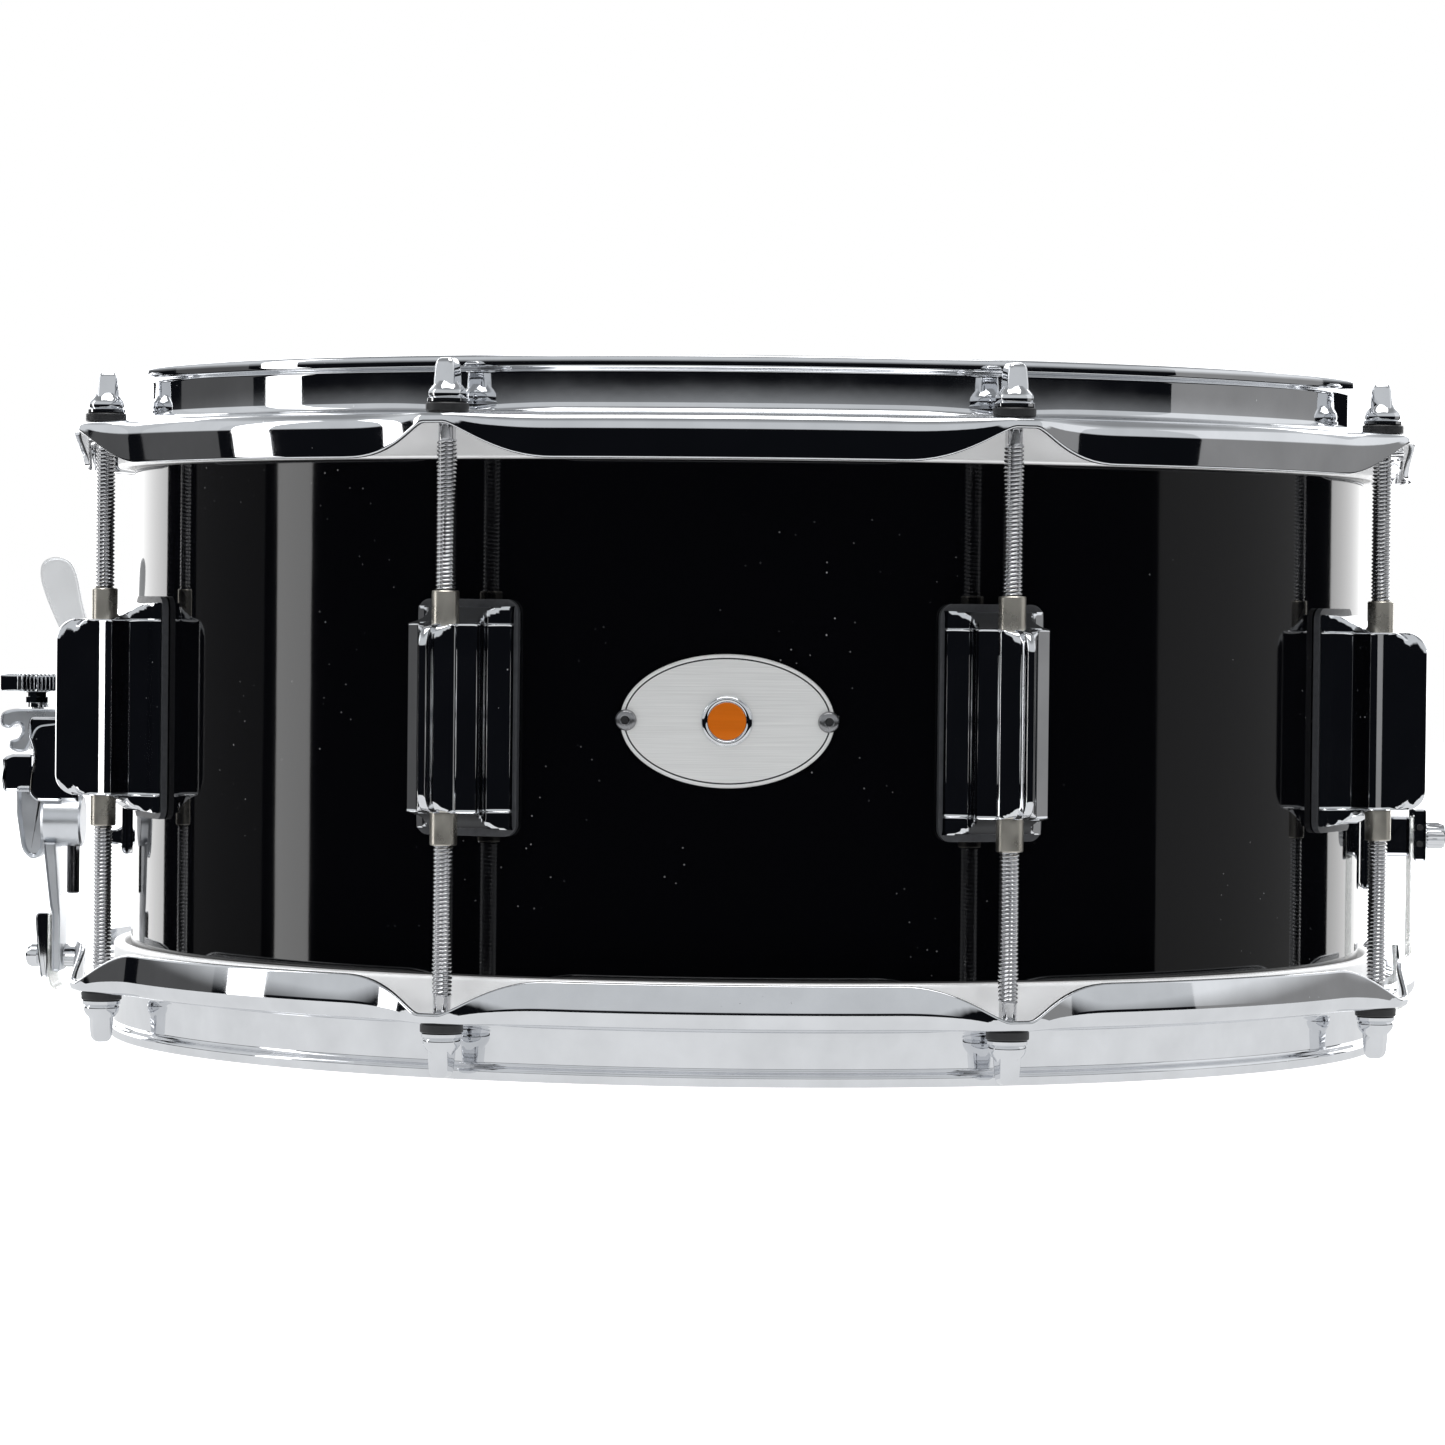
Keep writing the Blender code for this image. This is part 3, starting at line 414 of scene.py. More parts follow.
def make_badge():
    """An oval plate with a raised rim, a dark line inside it and a hole for the grommet."""
    half_width, half_height = 27.95 * MM, 17.4 * MM
    hole = 6.2 * MM
    face = 0.78 * MM
    # distance inside the edge, lift above the back, material of the band that starts there
    bands = [
        (0.0, 0.0, 0),
        (0.0, 0.65 * MM, 0),
        (0.18 * MM, 0.93 * MM, 0),
        (0.75 * MM, 0.95 * MM, 0),
        (0.95 * MM, face, 1),
        (1.35 * MM, face, 0),
    ]
    steps = 144
    bm = bmesh.new()
    rings = []
    angles = [2 * math.pi * n / steps for n in range(steps)]
    for inset, lift, _ in bands:
        ring = []
        for a in angles:
            x, y = half_width * math.cos(a), half_height * math.sin(a)
            normal = Vector((math.cos(a) / half_width, math.sin(a) / half_height)).normalized()
            ring.append(badge_point(x - normal.x * inset, y - normal.y * inset, lift))
        rings.append(ring)
    for share in (0.8, 0.6, 0.4, 0.2, 0.0):
        ring = []
        for a in angles:
            x, y = (half_width - 1.35 * MM) * math.cos(a), (half_height - 1.35 * MM) * math.sin(a)
            inner_x, inner_y = hole * math.cos(a), hole * math.sin(a)
            ring.append(badge_point(inner_x + share * (x - inner_x), inner_y + share * (y - inner_y), face))
        rings.append(ring)
    rings.append([badge_point(hole * math.cos(a), hole * math.sin(a), 0.0) for a in angles])
    join_rings(bm, rings + [rings[0]], cap=False)
    bmesh.ops.remove_doubles(bm, verts=bm.verts, dist=1e-7)
    bm.faces.ensure_lookup_table()
    for n, (_, _, material) in enumerate(bands):
        for face_number in range(n * steps, (n + 1) * steps):
            bm.faces[face_number].material_index = material
    smooth(bm, math.radians(50))
    piece("badge_brushed", bm, [BRUSHED, INK_AND_SHADE], replaces=["badge_plate"])


def make_pins_and_grommet():
    for side, node in ((-1, "badge_pin_left"), (1, "badge_pin_right")):
        bm = bmesh.new()
        seat = 178.9
        stations = [(0.01, 178.6), (2.75, 178.6), (2.8, seat + 0.5), (2.6, seat + 1.1), (2.1, seat + 1.5)]
        stations += [(1.35, seat + 1.62), (1.15, seat + 1.5), (1.0, seat + 0.6), (0.01, seat + 0.5)]
        place = outward_place(0, 0, side * PIN_TURN)
        spindle(bm, mm(stations), 32, place)
        # painted shade: a dark disc fills each pin's hollow end, where shade falls
        painted_hollow_shade = [(0.01, seat + 1.45), (0.95, seat + 1.45), (0.95, seat + 1.58), (0.01, seat + 1.58)]
        spindle(bm, mm(painted_hollow_shade), 24, place, material=1)
        smooth(bm)
        piece(node + "_dome", bm, [RIVET, INK_AND_SHADE], replaces=[node])
    bm = bmesh.new()
    outside = 179.0
    ring = [(5.15, 170.2), (6.8, 170.2), (6.8, 171.3), (5.4, 171.3), (5.4, outside - 0.1)]
    ring += [(6.75, outside - 0.1), (6.82, outside + 0.5), (6.55, outside + 1.1), (6.0, outside + 1.5)]
    ring += [(5.5, outside + 1.55), (5.0, outside + 1.2), (4.85, outside + 0.6), (4.85, 171.0)]
    revolve(bm, mm(ring), 64, outward_place(0))
    smooth(bm, math.radians(45))
    piece("grommet_polished", bm, [CHROME], replaces=["vent_grommet"])


# ---------------------------------------------------------------- heads and hoops
def head_mesh(name, material):
    """The film over the shell's edge, its collar and the step down to the ring."""
    top = [(0.01, 83.35), (60, 83.35), (120, 83.35), (170, 83.35), (175.4, 83.34), (176.6, 83.2), (177.6, 82.6)]
    top += [(178.3, 81.6), (178.62, 80.2), (178.65, 77.0), (178.8, 70.3)]
    under = [(178.3, 70.3), (178.2, 77.0), (178.1, 80.2), (177.5, 81.9), (176.6, 82.72), (175.4, 82.9)]
    under += [(120, 82.9), (60, 82.9), (0.01, 82.9)]
    bm = bmesh.new()
    spindle(bm, mm(top + under), 240)
    smooth(bm)
    return to_mesh(name, bm, [material])


def make_heads():
    for side, flip, material, slot in (
        ("batter", False, COATED, "coated_film"),
        ("snare", True, CLEAR, "clear_film"),
    ):
        mesh = head_mesh(f"{side}_film", material)
        placed(f"{side}_film", mesh, replaces=[f"{side}_head"], flip=flip)
        ring = rounded([(179.25, 78.2, 0.9), (182.6, 78.2, 0.9), (182.6, 67.7, 1.2), (179.25, 67.7, 1.2)])
        bm = bmesh.new()
        revolve(bm, mm(ring), 240)
        smooth(bm)
        mesh = to_mesh(f"{side}_head_ring", bm, [RING_METAL])
        placed(f"{side}_head_ring", mesh, replaces=[f"{side}_flesh_hoop"], flip=flip)


def flange_share(angle):
    """How far the hoop's flange is turned down, this far in degrees from a rod: 0 ear, 1 skirt."""
    along = min(max((abs(angle) - 0.80) / (9.0 - 0.80), 0.0), 1.0)
    eased = along * along / (along + 0.10) * 1.10
    return 1 - (1 - min(eased, 1.0)) ** 2.2


def hoop_section(angle):
    share = flange_share(angle)
    corners = [  # at the ear, in the skirt: radius, height, corner size
        ((180.2, 94.6, 0.5), (180.2, 94.6, 0.5)),
        ((183.9, 94.6, 1.1), (183.9, 94.6, 1.1)),
        ((183.9, 91.5, 0.8), (183.9, 91.5, 0.8)),
        ((182.3, 90.6, 0.8), (182.3, 90.6, 0.8)),
        ((182.3, 79.15, 2.3), (182.3, 79.7, 2.6)),
        ((200.2, 79.15, 1.9), (194.9, 79.5, 5.2)),
        ((200.5, 76.5, 0.7), (193.5, 67.5, 0.7)),
        ((198.9, 76.2, 0.7), (191.6, 67.5, 0.7)),
        ((197.6, 77.0, 1.2), (192.4, 77.4, 3.2)),
        ((183.4, 77.0, 0.5), (184.6, 77.6, 0.8)),
        ((183.4, 78.6, 0.3), (183.4, 78.6, 0.3)),
        ((180.2, 78.6, 0.3), (180.2, 78.6, 0.3)),
    ]
    blended = []
    for ear, skirt in corners:
        blended.append(tuple((a + share * (b - a)) * MM for a, b in zip(ear, skirt)))
    return rounded(blended, 5)


def hoop_mesh():
    """The chromed hoop, cut into rings that lie closest where the flange rises to a rod's ear."""
    steps = [0.55, 0.8, 1.1, 1.4, 1.8, 2.2, 2.7, 3.2, 3.8, 4.4, 5.1, 5.8, 6.6, 7.4, 8.2, 9.0]
    steps += [11.0, 13.3, 15.6, 17.9, 20.2]
    angles = [-a for a in reversed(steps)] + [0.0] + steps + [22.5]
    bm = bmesh.new()
    rings = []
    for turn in LUG_TURNS:
        for angle in angles:
            rotation = Matrix.Rotation(math.radians(turn + angle), 3, "Z")
            rings.append([rotation @ spot(r, 0, z) for r, z in hoop_section(angle)])
    join_rings(bm, rings, round_about=True)
    smooth(bm, math.radians(60))
    mesh = to_mesh("hoop_chromed", bm, [CHROME])
    holes = bmesh.new()
    for turn in LUG_TURNS:
        x, y = ROD_CIRCLE * math.sin(math.radians(turn)), -ROD_CIRCLE * math.cos(math.radians(turn))
        spindle(holes, mm([(3.3, 74.0), (3.3, 82.0)]), 24, Matrix.Translation((x, y, 0)))
    return cut_mesh(mesh, holes)


def gate_cut(mesh, turn, radii, heights):
    """Opens the rim where the straps pass, over this span of radius and height in mm."""
    rotation = Matrix.Rotation(math.radians(turn), 3, "Z")
    corners = [(radii[0], heights[0]), (radii[1], heights[0]), (radii[1], heights[1]), (radii[0], heights[1])]
    shape = bmesh.new()
    join_rings(shape, [[rotation @ spot(r, side, z) * MM for r, z in corners] for side in (-23, 23)])
    return cut_mesh(mesh, shape)


def make_hoops():
    mesh = hoop_mesh()
    placed("batter_hoop_chromed", mesh, replaces=["batter_hoop"])
    gated = mesh
    for turn in (LEFT, RIGHT):
        gated = gate_cut(gated, turn, (183.2, 206.0), (60.0, 91.0))
        gated = gate_cut(gated, turn, (170.0, 190.0), (81.5, 91.0))
    placed("snare_hoop_chromed", gated, replaces=["snare_hoop"], flip=True)


# ---------------------------------------------------------------- tension rods and lugs
def rod_mesh():
    """A key rod about its own axis, its head up: thread, shank, washers, collar and square head."""
    bm = bmesh.new()
    steps, pitch = 20, 1.058
    major, minor = 2.70, 2.22
    rows = int((72.0 - 21.0) / pitch * 6)
    rings = []
    for row in range(rows + 1):
        z = 21.0 + (72.0 - 21.0) * row / rows
        ring = []
        for n in range(steps):
            phase = (z / pitch - n / steps) % 1.0
            depth = abs(2 * phase - 1)
            radius = minor + (major - minor) * min(1.0, depth * 1.25)
            angle = 2 * math.pi * n / steps
            ring.append(Vector((radius * math.cos(angle), radius * math.sin(angle), z)) * MM)
        rings.append(ring)
    for z in (72.6, 79.6):
        rings.append([point * MM for point in circle(2.35, z, steps)])
    join_rings(bm, rings, material=0)
    nylon = [(5.35, 79.45), (5.65, 79.75), (5.65, 81.5), (5.35, 81.8), (2.4, 81.8), (2.4, 79.45)]
    revolve(bm, mm(nylon), 40, material=1)
    collar = [(2.3, 81.82), (4.9, 81.82), (5.3, 82.1), (5.3, 82.9), (5.0, 83.1), (4.75, 83.3), (4.95, 83.7)]
    collar += [(4.95, 84.6), (4.7, 85.3), (4.1, 86.1), (3.5, 86.7), (3.1, 87.4), (0.6, 87.6)]
    spindle(bm, mm(collar), 40, material=2)
    side, corner = 3.05, 1.35
    square = rounded([(side, side, corner), (-side, side, corner), (-side, -side, corner), (side, -side, corner)])
    rings = []
    for scale, z in ((1, 85.2), (0.97, 88.0), (0.88, 91.4), (0.80, 92.4), (0.66, 93.1), (0.45, 93.5)):
        rings.append([Vector((p.x * scale, p.y * scale, z)) * MM for p in square])
    join_rings(bm, rings, material=2)
    smooth(bm, math.radians(38))
    return to_mesh("tension_rod", bm, [ROD_STEEL, NYLON_AND_SHADE, CHROME])


def make_rods():
    mesh = rod_mesh()
    for side, flip in (("batter", False), ("snare", True)):
        for number, turn in enumerate(LUG_TURNS, start=1):
            node = f"{side}_rod_{number}"
            angle = math.radians(turn)
            offset = Vector((ROD_CIRCLE * math.sin(angle), -ROD_CIRCLE * math.cos(angle), 0))
            placed(f"{node}_threaded", mesh, turn, node, [node], flip, offset)


def lug_half_section():
    """Half of the casting's level section as (kind, radius or share, half width), back to front.

    Kinds: "body" points keep their radius, "barrel" points follow the barrel's rounded ends, and
    "keel" points lie between the barrel's front (share 0) and the keel's front (share 1)."""
    body = [(179.5, 13.9), (180.6, 13.8), (181.2, 13.5), (181.8, 12.5), (182.5, 11.3), (183.3, 10.3), (184.2, 9.4)]
    body += [(185.2, 8.8), (186.4, 8.55), (187.6, 8.65), (188.8, 8.9), (190.0, 9.3), (191.2, 9.75), (192.2, 10.1)]
    body += [(192.9, 10.15), (193.5, 9.95), (193.9, 9.4), (194.5, 8.3), (195.2, 7.0), (195.7, 6.25)]
    barrel = []
    for degrees in (12, 22, 33, 44, 54, 62):
        angle = math.radians(degrees)
        barrel.append((195.0 + 5.7 * math.sin(angle), 5.75 * math.cos(angle)))
    keel = [(0.04, 1.9), (0.12, 1.5), (0.3, 1.32), (0.6, 1.25), (0.82, 1.15), (0.93, 0.85), (0.985, 0.45)]
    kinds = (("body", body), ("barrel", barrel), ("keel", keel))
    return [(kind, value, width) for kind, points in kinds for value, width in points]


def end_round(height, half, size, front):
    """The front radius of something whose ends are rounded off by this size."""
    over = max(height - (half - size), 0.0)
    return front - (size - math.sqrt(max(size**2 - over**2, 0.0)))


def lug_ring(height, inset=0.0, front=None):
    """The casting's section at this height in mm, shrunk by inset, cut off flat at front."""
    barrel = end_round(abs(height), 24.4, 3.4, 200.6)
    keel = end_round(abs(height), 24.5, 5.8, 205.7)
    half = []
    for kind, value, width in lug_half_section():
        if kind == "body":
            radius = value
        elif kind == "barrel":
            radius = min(value, barrel)
        else:
            radius = barrel + value * (keel - barrel)
        if front is not None and radius > front:
            radius = front
            width = min(width, half[-1][1] - 0.25)
        half.append((radius, width))
    outline = [Vector((r, w)) for r, w in half] + [Vector((r, -w)) for r, w in reversed(half)]
    if inset:
        moved = []
        for n, here in enumerate(outline):
            along = outline[(n + 1) % len(outline)] - outline[n - 1]
            normal = Vector((-along.y, along.x)).normalized()
            moved.append(here + normal * inset if here.x > 180.5 else here)
        outline = moved
    return [spot(p.x, p.y, height) * MM for p in outline]


def lug_mesh():
    """The chromed casting as rings from its foot up, with its two inserts."""
    foot = [(29.2, 180.9), (29.1, 182.0), (28.7, 183.4), (28.0, 184.9), (27.0, 186.6), (26.0, 188.6)]
    foot += [(25.2, 190.8), (24.7, 192.6)]
    rows = [(height, 0, front) for height, front in foot]
    rows += [(24.48, 0.55, None), (24.44, 0.34, None), (24.3, 0.14, None), (24.05, 0.03, None), (23.7, 0, None)]
    heights = (23.35, 22.95, 22.5, 22.0, 21.5, 21.0, 20.4, 19.8, 19.1, 18.7, 9.0)
    rows += [(height, 0, None) for height in heights]
    levels = [(-z, inset, front) for z, inset, front in rows]
    levels += [(z, inset, front) for z, inset, front in reversed(rows)]
    bm = bmesh.new()
    join_rings(bm, [lug_ring(z, inset, front) for z, inset, front in levels])
    for side in (-1, 1):
        place = Matrix.Translation(spot(ROD_CIRCLE, 0, 0)) @ Matrix.Diagonal((1, 1, side, 1))
        tube = [(3.6, 20.0), (3.6, 32.8), (3.35, 33.1), (2.95, 33.1), (2.75, 32.8), (2.75, 20.0)]
        revolve(bm, mm(tube), 32, place, material=1)
        stations = [(0.5, 170.4), (2.8, 170.4), (3.2, 170.0), (3.2, 168.2), (2.6, 167.8), (0.5, 167.8)]
        washer = [(2.2, 171.5), (5.0, 171.5), (5.0, 170.4), (2.2, 170.4)]
        spindle(bm, mm(stations), 6, outward_place(side * LUG_SCREW * MM), material=2)
        revolve(bm, mm(washer), 24, outward_place(side * LUG_SCREW * MM), material=2)
    smooth(bm, math.radians(32))
    return to_mesh("lug_casting", bm, [CHROME, INSERT_METAL, ROD_STEEL])


def gasket_mesh():
    """A rubber pad bent round the shell, its corners rounded and its rim proud of the lug's foot."""
    half_width, half, corner = 14.5, 31.0, 3.5
    bm = bmesh.new()
    rings = []
    stations = [-1 + n / 16 for n in range(33)]
    for share in stations:
        across = half_width * math.sin(share * math.pi / 2)
        over = max(abs(across) - (half_width - corner), 0.0)
        top = half - (corner - math.sqrt(max(corner**2 - over**2, 0.0)))
        angle = across / 178.0
        edge = 0.35 if abs(share) < 1 else 0.0
        section = [(178.05, -top), (179.35 + edge, -top), (179.75, -top + 0.4), (179.75, top - 0.4)]
        section += [(179.35 + edge, top), (178.05, top)]
        rotation = Matrix.Rotation(angle, 3, "Z")
        rings.append([rotation @ spot(r, 0, z) * MM for r, z in section])
    join_rings(bm, rings)
    smooth(bm, math.radians(40))
    return to_mesh("lug_gasket", bm, [GASKET])


def make_lugs():
    casting, pad = lug_mesh(), gasket_mesh()
    for number, turn in enumerate(LUG_TURNS, start=1):
        placed(f"lug_{number}_casting", casting, turn, replaces=[f"lug_{number}"])
        placed(f"gasket_{number}_rubber", pad, turn, replaces=[f"lug_gasket_{number}"])


# ---------------------------------------------------------------- throw-off, butt and wires
def plate(bm, points, sides, bevel=0.5, material=0, steps=3):
    """A slab with rounded corners and edges from (radius, height, corner size) points in mm."""
    outline = rounded(mm(points), steps)
    low, high = sides[0] * MM, sides[1] * MM
    levels = []
    for share in (1.0, 0.45, 0.12, 0.0):
        levels.append((bevel * MM * share, low + bevel * MM * (1 - math.sqrt(1 - share**2))))
    levels += [(inset, low + high - side) for inset, side in reversed(levels)]
    facing = winding(outline)
    rings = []
    for inset, side in levels:
        ring = []
        for n, here in enumerate(outline):
            along = outline[(n + 1) % len(outline)] - outline[n - 1]
            normal = Vector((along.y, -along.x)).normalized() * facing
            point = here - normal * inset
            ring.append(spot(point.x, side, point.y))
        rings.append(ring)
    join_rings(bm, rings, material=material)


def box_points(radii, heights, corner):
    (r0, r1), (z0, z1) = radii, heights
    return [(r0, z0, corner), (r1, z0, corner), (r1, z1, corner), (r0, z1, corner)]


def across_place(radius, height):
    """Local Z points across, towards the camera's side of the strainer."""
    return Matrix.Translation(spot(radius * MM, 0, height * MM)) @ Matrix.Rotation(math.pi / 2, 4, "Y")


def upright_place(radius):
    return Matrix.Translation(spot(radius * MM, 0, 0))


def bored(name, solids, materials, bores):
    """One mesh of several solids, with round holes through each: (place, round radius, ends) in mm."""
    whole = bmesh.new()
    for bm in solids:
        smooth(bm)
        mesh = to_mesh(name + "_solid", bm, materials)
        for place, radius, ends in bores:
            hole = bmesh.new()
            spindle(hole, mm([(radius, ends[0]), (radius, ends[1])]), 24, place)
            mesh = cut_mesh(mesh, hole)
        whole.from_mesh(mesh)
    return to_mesh(name, whole, materials)


def slab(points, sides, bevel, material=0):
    bm = bmesh.new()
    plate(bm, points, sides, bevel, material, steps=4)
    return bm


def gear_ring(radius, depth, count, height):
    """One ring of a knurled edge."""
    ring = []
    for n in range(count * 4):
        share = (0.0, 0.55, 1.0, 0.55)[n % 4]
        angle = 2 * math.pi * n / (count * 4)
        r = radius - depth * share
        ring.append(Vector((r * math.cos(angle), r * math.sin(angle), height)))
    return ring


def knurled(bm, stations, count, place, material=0):
    """Stations of (round radius, knurl depth, along), capped at both ends."""
    rings = [[place @ (p * MM) for p in gear_ring(r, depth, count, z)] for r, depth, z in stations]
    join_rings(bm, rings, material=material)


def make_strainer_body():
    bm = bmesh.new()
    plate(bm, box_points((178.3, 181.0), (-44.0, 12.0), 2.0), (-10.0, 10.0), 0.7)
    stations = [(5.0, -12.7), (5.7, -12.0), (5.7, 7.3), (5.0, 8.0)]
    spindle(bm, mm(stations), 40, across_place(PIVOT, 0))
    arm = [(180.2, -6.6, 0.5), (190.0, -6.8, 1), (190.0, 6.8, 1), (180.2, 8.4, 0.5)]
    plate(bm, arm, (-8.5, 6.5), 0.6)
    shelf = [(180.2, -12.5, 0.5), (199.0, -12.5, 1.5), (199.0, -7.2, 1.5), (180.2, -6.5, 0.5)]
    plate(bm, shelf, (-4.5, 4.5), 0.6)
    bridge = [(180.2, -42.5, 0.5), (182.5, -41.4, 1), (186.2, -41.0, 1), (186.2, -37.2, 1)]
    bridge += [(182.5, -36.8, 1), (180.2, -34.5, 0.5)]
    plate(bm, bridge, (-6.0, 6.0), 0.6)
    spindle(bm, mm([(1.5, -56.0), (1.9, -55.6), (1.9, -12.0)]), 24, upright_place(POST), material=1)
    for height in (8.0, -40.0):
        head = [(3.4, 180.9), (3.4, 181.8), (2.6, 182.5), (0.4, 182.7)]
        spindle(bm, mm(head), 24, outward_place(height * MM), 1)
    smooth(bm)
    piece("strainer_casting", bm, [CHROME, ROD_STEEL], LEFT, "drum", ["strainer_body"])
    bm = bmesh.new()
    stations = [(2.6, 9.5), (3.6, 9.2), (3.6, 8.3), (2.0, 8.3), (2.0, -15.8), (3.6, -15.8), (3.6, -16.7)]
    spindle(bm, mm(stations + [(2.6, -17.0)]), 32, across_place(PIVOT, 0))
    smooth(bm)
    piece("lever_pivot_pin", bm, [CHROME], LEFT, "drum", ["lever_pin"])


def make_lever():
    points = [(190.0, -6.0, 1.5), (194.2, -4.2, 1.5), (196.0, 0.0, 2), (201.0, 16.6, 4), (207.0, 29.7, 4)]
    points += [(209.2, 36.6, 3), (208.7, 41.0, 2.4), (205.0, 42.7, 2.4), (200.4, 41.7, 2.4), (198.3, 37.8, 3)]
    points += [(195.9, 25.4, 4), (190.5, 12.0, 4), (184.8, 3.0, 2), (184.0, 0.0, 2), (185.8, -4.2, 2)]
    bores = [(across_place(PIVOT, 0), 2.15, (-20, -10))]
    mesh = bored("lever_paddle", [slab(points, (-15.5, -13.0), 0.75)], [GLOWING_BRIGHT_SATIN], bores)
    placed("lever_paddle", mesh, LEFT, "throw_off_lever", ["strainer_lever"])


def make_carriage():
    # the hooked top that carries the knob's spindle
    top = [(200.6, -6.6, 0.8), (200.6, -2.0, 1.6), (213.6, -2.0, 2.4), (217.4, -3.2, 1.8), (217.4, -7.2, 1.4)]
    top += [(214.6, -8.0, 1.0), (213.4, -6.6, 0.9), (211.6, -6.4, 1.0), (211.0, -8.6, 1.2), (212.2, -10.8, 1.0)]
    top += [(214.6, -11.2, 0.8), (214.9, -13.6, 0.9), (212.6, -14.9, 1.2), (209.8, -14.6, 1.4), (208.3, -11.4, 2)]
    top += [(206.8, -7.4, 2)]
    web = [(200.6, -4.4, 0.5), (208.6, -4.4, 1), (209.6, -9.0, 2), (208.0, -13.0, 2), (207.4, -17.0, 2)]
    web += [(208.6, -21.0, 2), (208.9, -27.0, 1.5), (206.5, -29.0, 1), (199.4, -29.0, 1), (199.4, -14.4, 1)]
    block = [(208.2, -26.3, 0.8), (208.2, -15.2, 0.8), (214.4, -15.2, 1.2), (217.0, -16.6, 1.2)]
    block += [(216.4, -19.4, 1.4), (217.0, -22.4, 1.4), (216.4, -26.3, 1.0)]
    # the tapering arm, a horizontal barrel on the post and the bar that holds the strap
    arm = [(204.7, -24.6, 0.5), (212.6, -24.6, 1.0), (212.5, -33.0, 1), (210.9, -43.6, 2.4), (207.8, -46.3, 2.4)]
    arm += [(204.9, -44.4, 2.0), (203.6, -34.0, 2)]
    bar = [(199.4, -78.6, 0.8), (199.4, -62.0, 2), (201.0, -41.0, 0.5), (204.6, -41.0, 0.5), (202.4, -60.2, 2)]
    bar += [(201.8, -61.6, 0.8), (201.8, -78.6, 0.8)]
    barrel = bmesh.new()
    stations = [(0.6, 193.7), (6.9, 193.7), (7.6, 194.3), (7.6, 204.6), (7.0, 205.4), (0.6, 205.4)]
    spindle(barrel, mm(stations), 40, outward_place(-34.7 * MM))
    solids = [slab(top, (-5.6, 5.6), 0.8), slab(web, (-6.0, 6.0), 0.8, 1), slab(block, (-5.5, 5.5), 0.9, 1)]
    solids += [slab(arm, (-4.2, 5.2), 1.2), barrel, slab(bar, (-6.2, 6.2), 0.6)]
    solids.append(slab(box_points((194.6, 204.0), (-30.0, -14.6), 1.6), (-5.0, 5.0), 1.4, 1))
    bores = [(upright_place(POST), 2.15, (-60, -10)), (upright_place(KNOB_AXIS), 2.1, (-16, 0))]
    bores.append((outward_place(STRAP_SCREW * MM), 2.0, (196, 204)))
    mesh = bored("carriage_casting", solids, [SATIN_CHROME, CHROME], bores)
    placed("carriage_casting", mesh, LEFT, "carriage", ["strainer_carriage"])


def make_knob():
    bm = bmesh.new()
    stations = [(9.3, 0.0, 2.8), (10.5, 0.35, 3.1), (10.85, 0.55, 3.7), (10.85, 0.55, 7.4), (10.6, 0.4, 7.9)]
    stations += [(10.0, 0.0, 8.2), (7.0, 0.0, 8.6), (3.0, 0.0, 8.75)]
    knurled(bm, stations, 56, upright_place(KNOB_AXIS))
    spindle(bm, mm([(3.1, 3.0), (3.1, 1.5), (3.7, 1.4), (3.7, -0.3), (3.2, -0.45)]), 6, upright_place(KNOB_AXIS))
    spindle(bm, mm([(3.0, -0.3), (3.0, -1.6)]), 24, upright_place(KNOB_AXIS))
    spindle(bm, mm([(1.8, -1.0), (1.8, -12.4), (1.4, -13.0)]), 20, upright_place(KNOB_AXIS), material=1)
    smooth(bm, math.radians(24))
    piece("knob_knurled", bm, [CHROME, ROD_STEEL], LEFT, "adjuster_knob", ["strainer_knob"])


def make_clamp():
    jaw = [(203.05, -61.3, 0.4), (206.0, -61.3, 0.9), (206.7, -62.4, 0.8), (206.2, -70.0, 2), (205.0, -80.4, 0.7)]
    jaw += [(203.05, -80.4, 0.4)]
    bores = [(outward_place(STRAP_SCREW * MM), 2.0, (200, 210))]
    mesh = bored("clamp_jaw", [slab(jaw, (-6.2, 6.2), 0.45)], [CHROME], bores)
    placed("clamp_jaw", mesh, LEFT, "carriage", ["strainer_clamp_jaw"])
    bm = bmesh.new()
    place = outward_place(STRAP_SCREW * MM)
    head = [(3.2, 206.4), (3.4, 206.8), (3.4, 208.6), (2.9, 209.6), (1.9, 210.15), (0.4, 210.2)]
    spindle(bm, mm(head), 32, place)
    spindle(bm, mm([(1.6, 195.3), (1.6, 206.6)]), 20, place, material=1)
    knurled(bm, [(3.1, 0.0, 195.2), (3.4, 0.3, 195.5), (3.4, 0.3, 198.8), (3.1, 0.0, 199.1)], 20, place)
    smooth(bm, math.radians(24))
    piece("clamp_screw", bm, [CHROME, ROD_STEEL], LEFT, "carriage", ["strainer_clamp_screw"])


def strap_strip(name, path, turn, body, node, holes):
    """A clear strip 0.6 mm thick and 16 mm wide along a path of (radius, height) in mm."""
    thick, half = 0.3, 8.0
    points = [Vector(p) for p in path]
    smoothed = [points[0]]
    for before, here, after in zip(points, points[1:], points[2:]):
        start, end = here + (before - here) * 0.42, here + (after - here) * 0.42
        for k in range(5):
            t = k / 4
            smoothed.append(start * (1 - t) ** 2 + here * (2 * t * (1 - t)) + end * t * t)
    smoothed.append(points[-1])
    rings = []
    for n, here in enumerate(smoothed):
        along = (smoothed[min(n + 1, len(smoothed) - 1)] - smoothed[max(n - 1, 0)]).normalized()
        normal = Vector((-along.y, along.x)) * thick
        ring = []
        for side, sign in ((-half, 1), (half, 1), (half, -1), (-half, -1)):
            point = here + normal * sign
            ring.append(spot(point.x, side, point.y) * MM)
        rings.append(ring)
    bm = bmesh.new()
    join_rings(bm, rings)
    bores = [(outward_place(height * MM, across * MM), 2.0, (188, 208)) for across, height in holes]
    mesh = bored(name, [bm], [STRAP], bores)
    placed(name, mesh, turn, body, [node])


